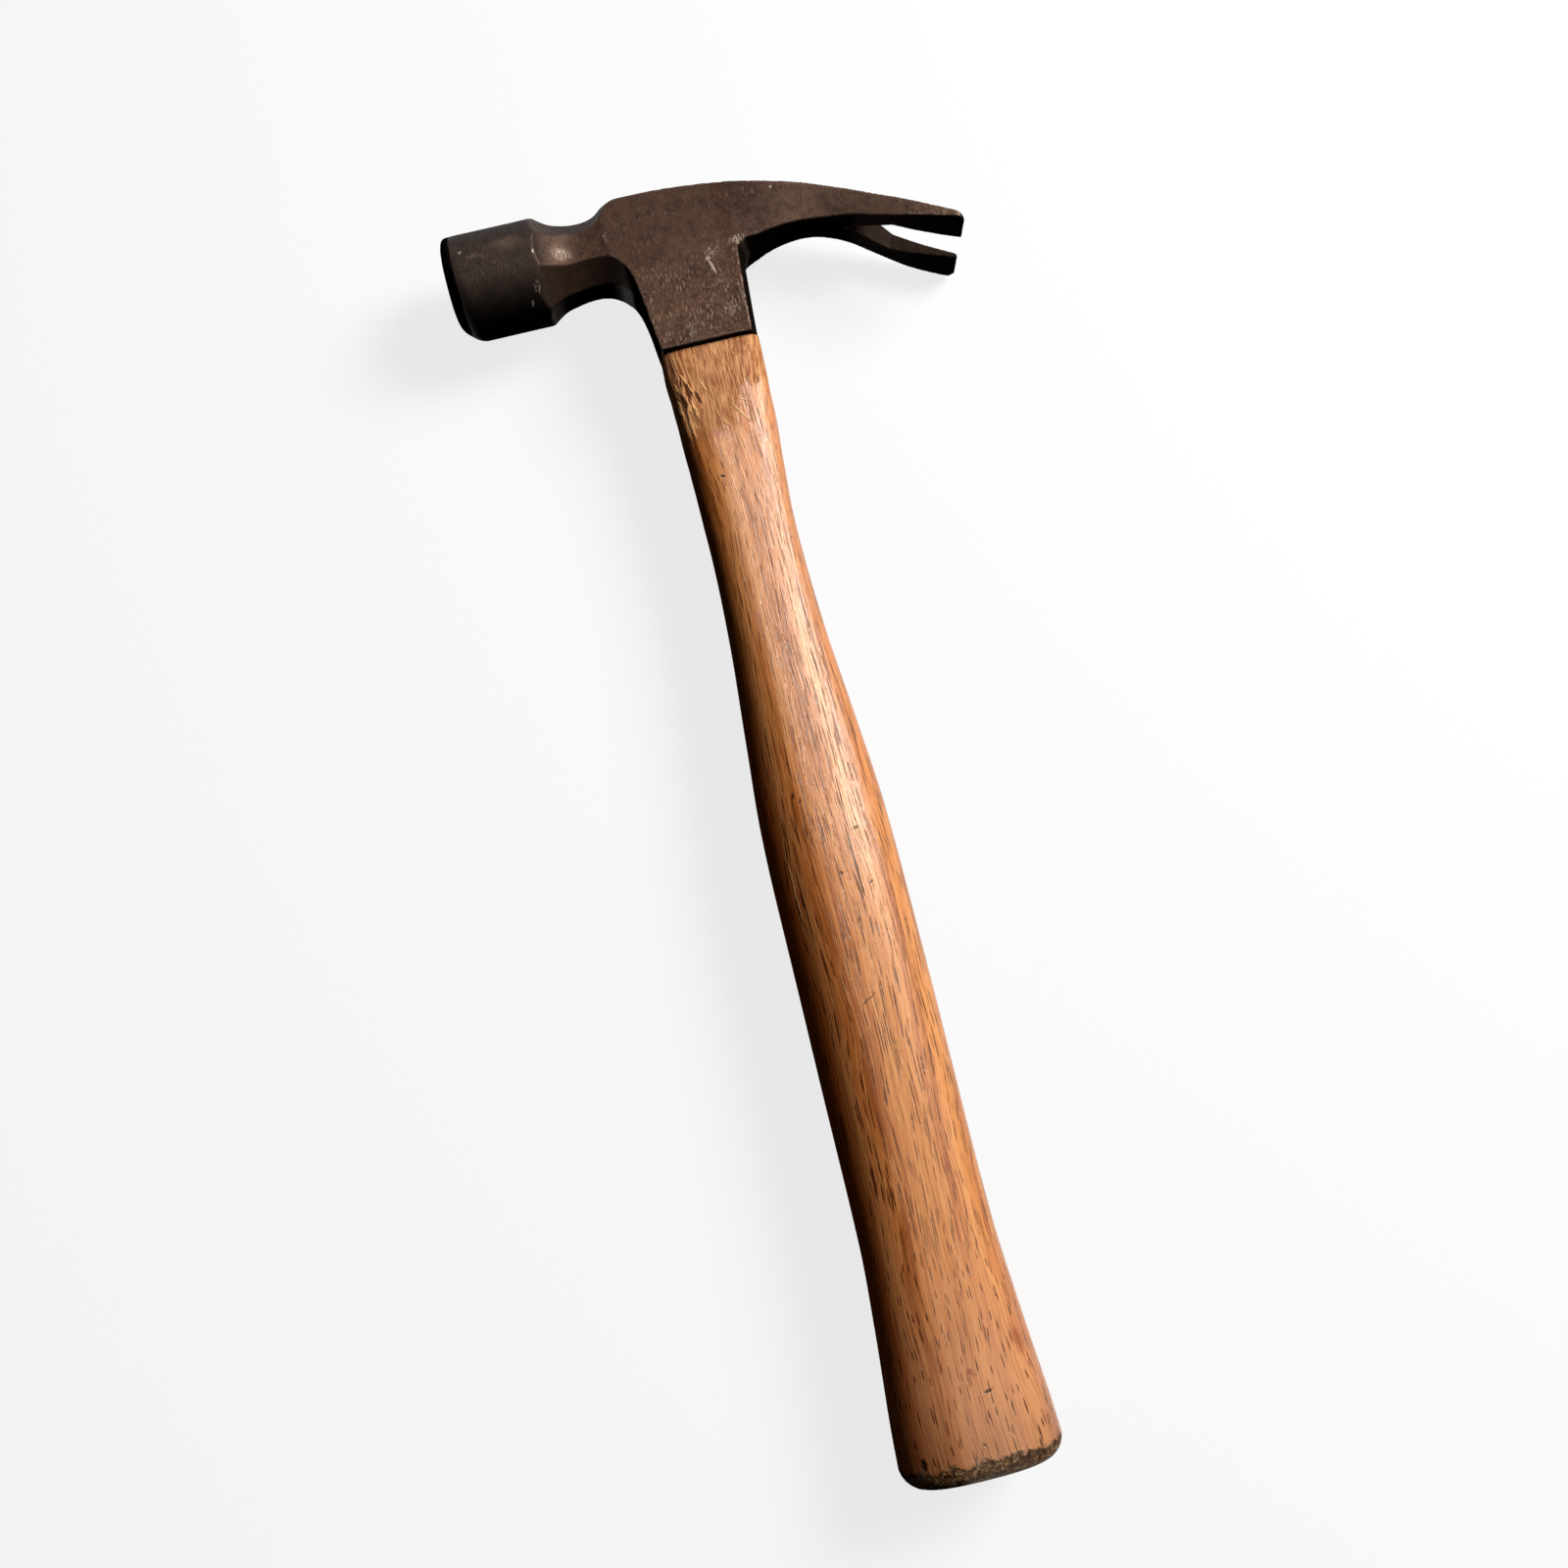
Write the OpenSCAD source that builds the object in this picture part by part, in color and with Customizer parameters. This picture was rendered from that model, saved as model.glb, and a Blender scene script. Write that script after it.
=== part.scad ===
// Straight claw hammer: a forged steel head on a wedged hickory handle.
// It lies on its side. X runs from the striking face to the claws, Y from the butt to the
// top of the head, and Z is up. Each piece is drawn about the handle's axis, with Y = 0 at
// the mouth of the socket, and then moved so that the origin is under the whole hammer.

/* [Poll] */
// Across the round poll
poll_d = 29; // [27:0.5:31]
// Striking face to the handle's axis
face_reach = 64.5; // [56:1:72]
// Mouth of the socket to the poll's axis
poll_height = 35; // [33:0.5:37]
// Rounding of the striking face's rim
rim = 3; // [1:0.1:4]

/* [Neck] */
// Across the flats of the eight-sided neck at its waist
neck_flats = 19.4; // [17:0.2:22]
// Handle's axis to the waist of the neck
waist_reach = 28; // [26:0.5:30]
// Radius of the long hollow between poll and cheeks
cove_r = 17; // [15:0.5:20]
// Radius of the hollow where the neck turns down into the socket
throat_r = 9; // [6:0.5:12]

/* [Cheeks and socket] */
// Thickness across the two cheeks
cheek_t = 22.4; // [21:0.2:26]
// Mouth of the socket to the top of the head
head_height = 45.6; // [43:0.2:48]
// Handle's axis to the ridge behind the socket
nose_reach = 16.3; // [15:0.1:18]
// How far the ridge leans in at the mouth of the socket
nose_lean = 1.6; // [0:0.1:3]
// Forging draft of the ridge, in degrees
nose_draft = 10; // [4:1:14]
// Radius under the root of the claws
root_r = 4; // [2:0.5:7]

/* [Claws] */
// Handle's axis to the claw tips
claw_reach = 75; // [68:1:84]
// How far the tips lie below the top of the head
tip_drop = 29.5; // [24:0.5:34]
// Thickness of the claws where they leave the socket
claw_t = 14.5; // [12:0.5:16]
// Thickness of the edge at the tips
tip_t = 1.4; // [0.8:0.1:2.4]
// Width across the claws' upper edges at their waist
claw_waist_w = 17.2; // [15:0.2:20]
// Width across the claws at their tips
claw_tip_w = 36; // [32:0.5:40]
// How far each lower edge is drawn in behind the socket
draw_in = 4.6; // [2:0.2:5]
// Lean of the drawn-in sides, in degrees
side_lean = 14; // [10:1:20]
// Rounding of the tips' outer corners
tip_round = 2; // [0.5:0.1:3]

/* [Nail slot] */
// Length of the nail slot on the handle's side
slot_length = 28.5; // [22:0.5:30]
// Width of the nail slot at the tips
slot_w = 11.4; // [9:0.2:13]
// Width of the nail slot where it is widest
slot_belly_w = 13.6; // [13:0.2:15]
// Width of the nail slot at its closed end
slot_root_w = 1.4; // [1:0.2:4]
// How much further the countersink runs towards the socket than the slot does
slot_sink = 5; // [2:0.5:7]

/* [Eye] */
// Length of the eye at its mouth, along X
eye_l = 20.6; // [19:0.2:22]
// Width of the eye at its mouth, along Z
eye_w = 17; // [15:0.2:17.6]
// Handle's axis to the middle of the eye
eye_shift = 1.1; // [0.5:0.1:1.7]
// How much the eye narrows at its waist, on each side
eye_waist = 0.7; // [0.2:0.1:1.2]
// How much the eye flares at the top of the head, on each side
eye_flare = 0.5; // [0:0.1:1]
// Clearance between the tenon and the eye
eye_gap = 0.1; // [0.05:0.05:0.3]

/* [Handle] */
// Mouth of the socket to the butt
handle_length = 297.5; // [260:2.5:340]
// Width of the shoulder under the head, along X
shoulder_w = 27.2; // [25:0.2:29]
// Thickness of the shoulder, along Z
shoulder_t = 17.4; // [16.6:0.2:20]
// Width of the throat, where the handle is slimmest
throat_w = 24.2; // [21:0.2:27]
// Width of the grip
grip_w = 34; // [30:0.5:38]
// Thickness of the grip
grip_t = 25.4; // [22:0.2:29]
// Width of the flared butt
butt_w = 41.6; // [38:0.2:46]
// Thickness of the butt
butt_t = 30; // [27:0.5:34]
// Rounding of the butt's edge
butt_round = 4.6; // [2:0.2:6]
// Clearance between the shoulder and the mouth of the socket
shoulder_gap = 0.2; // [0.1:0.1:0.5]
// How far the tenon stands below the top of the head
tenon_sink = 2; // [1.5:0.1:3]

/* [Wedges] */
// Thickness of the wooden wedge at its top
wedge_t = 3.4; // [2:0.2:4.4]
// Depth of the wooden wedge
wedge_depth = 28; // [20:1:34]
// Wood that the kerf leaves standing past each end of the wooden wedge
wedge_inset = 1.2; // [0.6:0.1:2]
// Thickness of a steel wedge at its top
steel_t = 2; // [1.4:0.1:2.6]
// Width of a steel wedge
steel_w = 12; // [9:0.5:13]
// Depth of a steel wedge
steel_depth = 16; // [10:1:19]
// Middle of one steel wedge to the middle of the other
steel_pitch = 9.6; // [7:0.2:11]
// Share of a wedge's thickness that is left at its lower edge
blunt_share = 0.2; // [0.1:0.05:0.4]
// Clearance round each wedge
wedge_gap = 0.05; // [0.05:0.05:0.1]

/* [Hidden] */

steel = "#5a5350";
hickory = "#c98a52";
wedge_wood = "#d9b582";
wedge_steel = "#8a8683";

poll_r = poll_d / 2;
cheek_z = cheek_t / 2;
tip_z = claw_tip_w / 2;
waist_x = -waist_reach;
// Reach of the cutting prisms, past everything in the head
far = 4 * head_height;
// The poll stands higher than the cheeks
top_y = max(head_height, poll_height + poll_r);
// Lowest point of the whole hammer when it lies on its side
half_height = max(claw_tip_w, butt_t, poll_d, cheek_t) / 2;
origin = [(claw_reach - face_reach) / 2, (top_y - handle_length) / 2, -half_height];
tenon_top = head_height - tenon_sink;

// Smooth curve through knots of [place, value], read at x
function slope(k, i) =
    let (a = max(i - 1, 0), b = min(i + 1, len(k) - 1))
    (k[b][1] - k[a][1]) / (k[b][0] - k[a][0]);
function blend(p, q, mp, mq, x) =
    let (w = q[0] - p[0], t = (x - p[0]) / w)
    (2 * t^3 - 3 * t^2 + 1) * p[1] + (t^3 - 2 * t^2 + t) * w * mp
    + (3 * t^2 - 2 * t^3) * q[1] + (t^3 - t^2) * w * mq;
function curve(k, x, i = 0) =
    x <= k[0][0] ? k[0][1]
    : i > len(k) - 2 ? k[len(k) - 1][1]
    : x <= k[i + 1][0] ? blend(k[i], k[i + 1], slope(k, i), slope(k, i + 1), x)
    : curve(k, x, i + 1);

function mix(a, b, share) = a + (b - a) * share;

// Points of an arc round c, with angle 0 straight down and positive angles toward +X
function arc(c, r, from, to, steps) =
    [for (i = [0:steps]) let (a = mix(from, to, i / steps)) c + r * [sin(a), -cos(a)]];

// The same points mirrored in the X axis and run backwards, which closes a symmetric outline
function mirrored(points) = [for (i = [len(points) - 1:-1:0]) [points[i].x, -points[i].y]];

// Oval or rounded box in the XZ plane at height y: power 2 is an ellipse, 4 is boxy
function oval(y, half_x, half_z, shift_x, power, count) =
    [for (i = [0:count - 1])
        let (a = 360 * i / count, c = cos(a), s = sin(a))
        [shift_x + half_x * sign(c) * abs(c)^(2 / power), y, half_z * sign(s) * abs(s)^(2 / power)]];

// Solid skin over a stack of rings that all have the same number of points
module loft(rings) {
    n = len(rings[0]);
    last = len(rings) - 1;
    sides = [for (i = [0:last - 1], j = [0:n - 1])
        let (k = (j + 1) % n, a = i * n + j, b = i * n + k)
        each [[a, b, b + n], [a, b + n, a + n]]];
    near_cap = [for (j = [n - 1:-1:0]) j];
    far_cap = [for (j = [0:n - 1]) last * n + j];
    polyhedron(points = [for (r = rings) each r], faces = concat(sides, [near_cap, far_cap]));
}

// Distance of the neck's flats from the poll's axis, as a line from poll to socket
cove_c = [waist_x, neck_flats / 2 + cove_r];
cove_start = -70;
cove_end = 42;
throat_c = cove_c + (cove_r - throat_r) * [sin(cove_end), -cos(cove_end)];
// Lean of the socket's front face
front_lean = 82.5;
flank = concat(
    arc(cove_c, cove_r, cove_start, cove_end, 18),
    arc(throat_c, throat_r, cove_end, front_lean, 6));
flank_end = flank[len(flank) - 1];
// The front face runs straight on to well past the mouth of the socket
front_end = flank_end + far * [cos(front_lean), sin(front_lean)];

// What stays of the head between one pair of the neck's opposite flats
module between_flats() {
    side = concat([[-far, far], [flank[0].x, far]], flank, [front_end, [far, front_end.y]]);
    linear_extrude(height = 2 * far, center = true)
        polygon(concat(side, mirrored(side)));
}

module poll() {
    length = face_reach - waist_reach;
    corner = arc([poll_r - rim, rim], rim, 0, 90, 5);
    outline = concat([[0, 0]], corner, [[poll_r, length], [0, length]]);
    translate([-face_reach, poll_height, 0])
        rotate([0, 90, 0])
            rotate_extrude($fn = 96)
                polygon(outline);
}

// Places along the claws are shares of the way from here to the tips
claw_start = 2;
// Share by which the cheeks have begun to narrow
cheek_end = 0.1;
drop_line = [[0, 0.019], [0.19, 0.068], [0.43, 0.177], [0.53, 0.269],
             [0.64, 0.415], [0.76, 0.606], [0.88, 0.824], [1, 1]];
thick_line = [[0.24, 1], [0.34, 0.79], [0.44, 0.67], [0.6, 0.5], [0.73, 0.34], [0.85, 0.2], [1, 0]];
waist_z = claw_waist_w / 2;
width_line = [[cheek_end, cheek_z], [0.19, mix(waist_z, cheek_z, 0.86)],
              [0.3, mix(waist_z, cheek_z, 0.44)], [0.41, mix(waist_z, cheek_z, 0.1)], [0.53, waist_z],
              [0.69, mix(waist_z, tip_z, 0.27)], [0.85, mix(waist_z, tip_z, 0.75)], [1, tip_z]];

function claw_x(s) = mix(claw_start, claw_reach, s);
function claw_share(x) = (x - claw_start) / (claw_reach - claw_start);
function claw_top(s) = head_height - tip_drop * curve(drop_line, s);
function claw_under(s) = claw_top(s) - mix(tip_t, claw_t, curve(thick_line, s));

root_x = nose_reach + root_r;
root_under = claw_under(claw_share(root_x));

// Side view of cheeks, socket and claws; the socket's rear is cut to shape by the draft
module side_blank() {
    steps = 24;
    back = waist_x - throat_r / 2;
    under_x = root_x + 1;
    upper = [for (i = [0:steps]) [claw_x(i / steps), claw_top(i / steps)]];
    lower = [for (i = [steps:-1:0]) let (s = i / steps) if (claw_x(s) > under_x) [claw_x(s), claw_under(s)]];
    linear_extrude(height = claw_tip_w + 2, center = true)
        polygon(concat([[back, 0], [back, head_height], [-claw_start, head_height]],
                       upper, lower, [[under_x, root_under], [under_x, 0]]));
}

// Top view: flat cheeks, the waist behind them and the flare of the claws
module plan_blank() {
    steps = 30;
    round_x = claw_reach - tip_round;
    flare = [for (i = [0:steps]) let (s = i / steps) if (s > cheek_end && claw_x(s) < round_x)
        [claw_x(s), curve(width_line, s)]];
    tip = arc([round_x, tip_z - tip_round], tip_round, 180, 90, 4);
    side = concat([[-far, cheek_z], [claw_x(cheek_end), cheek_z]], flare, tip);
    rotate([90, 0, 0])
        linear_extrude(height = 2 * far, center = true)
            polygon(concat(side, mirrored(side)));
}

// Keeps what lies ahead of the drafted ridge behind the socket, and all of the claws
module ahead_of_ridge(draft) {
    mouth_x = nose_reach - nose_lean;
    root = arc([root_x, root_under - root_r], root_r, -180, -90, 6);
    outline = concat([[mouth_x, 0], [mouth_x, -far], [-far, -far], [-far, far], [far, far],
                      [claw_reach + root_r, claw_under(1) - root_r]], root);
    rotate([0, draft, 0])
        linear_extrude(height = 2 * far, center = true)
            polygon([for (p = outline) [p.x * cos(draft), p.y]]);
}

// Keeps what lies inside the leaning sides, which draw in the lower edges behind the socket
module inside_lean() {
    low = poll_height - root_under;
    in = low * sin(side_lean) + (cheek_z - draw_in) * cos(side_lean);
    out = poll_height * sin(side_lean) + tip_z;
    start = nose_reach - 2.3;
    knots = [[0, 1], [0.016, 0.5], [0.035, 0.26], [0.06, 0.12], [0.09, 0.04], [0.13, 0],
             [0.4, 0], [0.5, 0.09], [0.6, 0.34], [0.7, 0.8], [0.75, 1]];
    line = [for (i = [0:60]) let (s = 0.75 * i / 60) [mix(start, claw_reach, s), mix(in, out, curve(knots, s))]];
    line_end = line[len(line) - 1];
    translate([0, poll_height, 0])
        rotate([90 + side_lean, 0, 0])
            linear_extrude(height = 2 * far, center = true)
                polygon(concat([[-far, -far], [-far, far], [start, far]], line,
                               [[line_end.x, far], [far, far], [far, -far]]));
}

// Half of the slot's outline: sink 0 is the side away from the handle, 1 the handle's side
function slot_half(sink) =
    let (root = slot_root_w / 2, start = slot_sink * (1 - sink), past = 2 * slot_length)
    [[start, root], [slot_length * 0.43, slot_belly_w / 2], [slot_length, slot_w / 2],
     [past, slot_w / 2]];
function slot_ring(sink, y) =
    let (half = slot_half(sink))
    [for (p = concat([for (h = half) [h.x, -h.y]], [for (i = [3:-1:0]) half[i]])) [p.x, y, p.y]];

// The nail slot, cut square to the claws and countersunk on the handle's side
module nail_slot() {
    root_share = claw_share(claw_reach - slot_length);
    lean = atan2(claw_under(root_share) - claw_under(1), slot_length);
    depth = claw_t / 2;
    translate([claw_reach - slot_length, claw_under(root_share), 0])
        rotate([0, 0, -lean])
            loft([slot_ring(2, -depth), slot_ring(0, depth), slot_ring(0, 2 * claw_t)]);
}

module body() {
    intersection() {
        side_blank();
        plan_blank();
        ahead_of_ridge(-nose_draft);
        ahead_of_ridge(nose_draft);
        inside_lean();
        mirror([0, 0, 1])
            inside_lean();
    }
}

// Section of the eye at height y, drawn in by gap for the tenon
eye_line = [[0, 0], [head_height * 0.42, eye_waist], [head_height, -eye_flare]];
function eye_ring(y, gap) =
    let (in = curve(eye_line, y) + gap)
    oval(y, eye_l / 2 - in, eye_w / 2 - in, eye_shift, 4, 32);
function eye_stack(from, to, gap) =
    [for (i = [0:8]) eye_ring(mix(from, to, i / 8), gap)];

module head() {
    color(steel)
        translate(-origin)
            difference() {
                intersection() {
                    union() {
                        poll();
                        body();
                    }
                    intersection_for (turn = [0:45:135]) {
                        translate([0, poll_height, 0])
                            rotate([turn, 0, 0])
                                between_flats();
                    }
                }
                loft(eye_stack(-1, head_height + 1, 0));
                nail_slot();
            }
}

// Handle outline: places are shares of the handle's length below the socket
half_shoulder = shoulder_w / 2;
half_throat = throat_w / 2;
half_grip = grip_w / 2;
side_line = [[0, half_shoulder - 0.2], [0.03, half_shoulder], [0.09, mix(half_throat, half_shoulder, 0.6)],
             [0.18, half_throat], [0.27, mix(half_throat, half_grip, 0.16)],
             [0.36, mix(half_throat, half_grip, 0.58)], [0.44, half_grip - 0.4],
             [0.55, half_grip], [0.8, half_grip], [0.87, mix(half_grip, butt_w / 2, 0.3)],
             [0.95, mix(half_grip, butt_w / 2, 0.8)], [1, butt_w / 2]];
depth_line = [[0, shoulder_t / 2], [0.2, shoulder_t / 2 + 0.3], [0.36, (shoulder_t + grip_t) / 4],
              [0.5, grip_t / 2 - 0.3], [0.75, grip_t / 2], [0.88, (grip_t + butt_t) / 4], [1, butt_t / 2]];
boxy_line = [[0, 3.6], [0.12, 3], [0.35, 2.4], [1, 2.5]];
shift_line = [[0, eye_shift], [0.05, eye_shift * 0.8], [0.16, 0]];

function handle_ring(s, inset = 0) =
    oval(-mix(shoulder_gap, handle_length, s), curve(side_line, s) - inset,
         curve(depth_line, s) - inset, curve(shift_line, s), curve(boxy_line, s), 32);

// Rings from the flat of the butt round its edge, up to the shoulder and on up the tenon
module handle_blank() {
    round_share = butt_round / handle_length;
    turn = [for (a = [0:18:90]) handle_ring(1 - round_share * (1 - cos(a)), butt_round * (1 - sin(a)))];
    grip = [for (i = [1:30]) handle_ring((1 - round_share) * (1 - i / 30))];
    loft(concat(turn, grip, eye_stack(-shoulder_gap, tenon_top, eye_gap)));
}

kerf_l = eye_l - 2 * (eye_waist + eye_gap + wedge_inset);

// Tapered wedge that points down, with its thickness along Z and its length along X
module wedge(t, long, depth, gap) {
    half_top = t / 2 + gap;
    half_tip = t * blunt_share / 2 + gap;
    rotate([0, 90, 0])
        linear_extrude(height = long + 2 * gap, center = true)
            polygon([[half_top, 0], [half_tip, -depth - gap], [-half_tip, -depth - gap], [-half_top, 0]]);
}

module wooden_taper(gap) {
    translate([eye_shift, tenon_top, 0])
        wedge(wedge_t, kerf_l, wedge_depth, gap);
}

// side is -1 for the steel wedge nearer the face and 1 for the one nearer the claws
module steel_taper(side, gap) {
    translate([eye_shift + side * steel_pitch / 2, tenon_top, 0])
        rotate([0, 90, 0])
            wedge(steel_t, steel_w, steel_depth, gap);
}

module handle() {
    color(hickory)
        translate(-origin)
            difference() {
                handle_blank();
                wooden_taper(wedge_gap);
                steel_taper(-1, wedge_gap);
                steel_taper(1, wedge_gap);
            }
}

module wooden_wedge() {
    color(wedge_wood)
        translate(-origin)
            difference() {
                wooden_taper(0);
                steel_taper(-1, wedge_gap);
                steel_taper(1, wedge_gap);
            }
}

module steel_wedge_front() {
    color(wedge_steel)
        translate(-origin)
            steel_taper(-1, 0);
}

module steel_wedge_rear() {
    color(wedge_steel)
        translate(-origin)
            steel_taper(1, 0);
}

head();
handle();
wooden_wedge();
steel_wedge_front();
steel_wedge_rear();
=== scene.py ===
"""Straight claw hammer: a forged head on a wedged hickory handle, on a plain floor."""

import logging
import math
from dataclasses import dataclass, field
from enum import Enum
from functools import cached_property, reduce
from itertools import product
from typing import Callable, Optional, Sequence

import bpy
import numpy as np
from mathutils import Matrix, Vector


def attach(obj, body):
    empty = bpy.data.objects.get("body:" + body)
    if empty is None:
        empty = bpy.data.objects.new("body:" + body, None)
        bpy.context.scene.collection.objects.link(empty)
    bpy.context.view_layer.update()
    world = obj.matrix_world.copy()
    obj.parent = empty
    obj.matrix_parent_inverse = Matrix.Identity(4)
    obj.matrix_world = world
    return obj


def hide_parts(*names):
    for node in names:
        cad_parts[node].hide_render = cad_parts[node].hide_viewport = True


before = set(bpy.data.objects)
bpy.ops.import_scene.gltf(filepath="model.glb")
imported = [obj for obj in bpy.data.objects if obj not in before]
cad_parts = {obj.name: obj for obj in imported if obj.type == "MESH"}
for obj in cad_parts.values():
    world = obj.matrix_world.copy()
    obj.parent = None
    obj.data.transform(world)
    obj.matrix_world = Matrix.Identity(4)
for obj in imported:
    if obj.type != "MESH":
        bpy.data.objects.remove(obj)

LOG = logging.getLogger("hammer")
MM = 0.001

Array = np.ndarray
Field = Callable[[Array, Array, Array], Array]
Knots = Sequence[tuple[float, float]]
Socket = bpy.types.NodeSocket
Material = bpy.types.Material
Piece = bpy.types.Object


def curve(knots: Knots, x: Array) -> Array:
    """Reads a smooth curve through knots.

    Args:
        knots: pairs of place and value, in rising order of place.
        x: the places to read.

    Returns:
        The values, held level past both ends.
    """
    place = np.array([k[0] for k in knots], float)
    value = np.array([k[1] for k in knots], float)
    last = len(place) - 1
    before = np.maximum(np.arange(last + 1) - 1, 0)
    after = np.minimum(np.arange(last + 1) + 1, last)
    lean = (value[after] - value[before]) / (place[after] - place[before])
    x = np.clip(np.asarray(x, float), place[0], place[-1])
    i = np.clip(np.searchsorted(place, x) - 1, 0, last - 1)
    width = place[i + 1] - place[i]
    t = (x - place[i]) / width
    start = (2 * t**3 - 3 * t**2 + 1) * value[i] + (t**3 - 2 * t**2 + t) * width * lean[i]
    end = (3 * t**2 - 2 * t**3) * value[i + 1] + (t**3 - t**2) * width * lean[i + 1]
    return start + end


def mix(a: float, b: float, share: float) -> float:
    """Returns the value that lies a share of the way from a to b."""
    return a + (b - a) * share


def both(a: Array, b: Array, radius: float) -> Array:
    """Keeps what lies in both shapes, with their meeting edge rounded to a radius."""
    corner = np.hypot(np.maximum(radius + a, 0), np.maximum(radius + b, 0))
    return np.minimum(-radius, np.maximum(a, b)) + corner


def either(a: Array, b: Array, radius: float) -> Array:
    """Keeps what lies in either shape, with a hollow of a radius where they meet."""
    return -both(-a, -b, radius)


def smooth_step(low: float, high: float, x: Array) -> Array:
    """Returns 0 below low, 1 above high and a smooth rise between."""
    t = np.clip((x - low) / (high - low), 0, 1)
    return t * t * (3 - 2 * t)


@dataclass(frozen=True)
class Ripple:
    """Slow unevenness of a worked surface, as a sum of waves in fixed random directions."""

    seed: int
    waves: int
    shortest: float
    longest: float
    height: float

    def at(self, x: Array, y: Array, z: Array) -> Array:
        """Reads the unevenness at points.

        Args:
            x: first coordinates in millimetres.
            y: second coordinates.
            z: third coordinates.

        Returns:
            Heights in millimetres.
        """
        rng = np.random.default_rng(self.seed)
        total = 0.0
        for _ in range(self.waves):
            way = rng.normal(size=3)
            way *= 2 * math.pi / (np.linalg.norm(way) * rng.uniform(self.shortest, self.longest))
            total = total + np.sin(way[0] * x + way[1] * y + way[2] * z + rng.uniform(0, 6.3))
        return total * self.height / math.sqrt(self.waves)


@dataclass(frozen=True)
class Placement:
    """Turns millimetres about the handle's axis into metres in the shared frame."""

    claw_reach: float = 75.0
    face_reach: float = 64.5
    top: float = 49.5
    handle_length: float = 297.5
    half_height: float = 18.0

    @property
    def origin(self) -> Array:
        """The shared origin, in millimetres about the handle's axis."""
        return np.array([(self.claw_reach - self.face_reach) / 2,
                         (self.top - self.handle_length) / 2, -self.half_height])

    def to_frame(self, points: Array) -> Array:
        """Returns points in metres in the shared frame."""
        return (np.asarray(points, float) - self.origin) * MM


PLACE = Placement()


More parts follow.
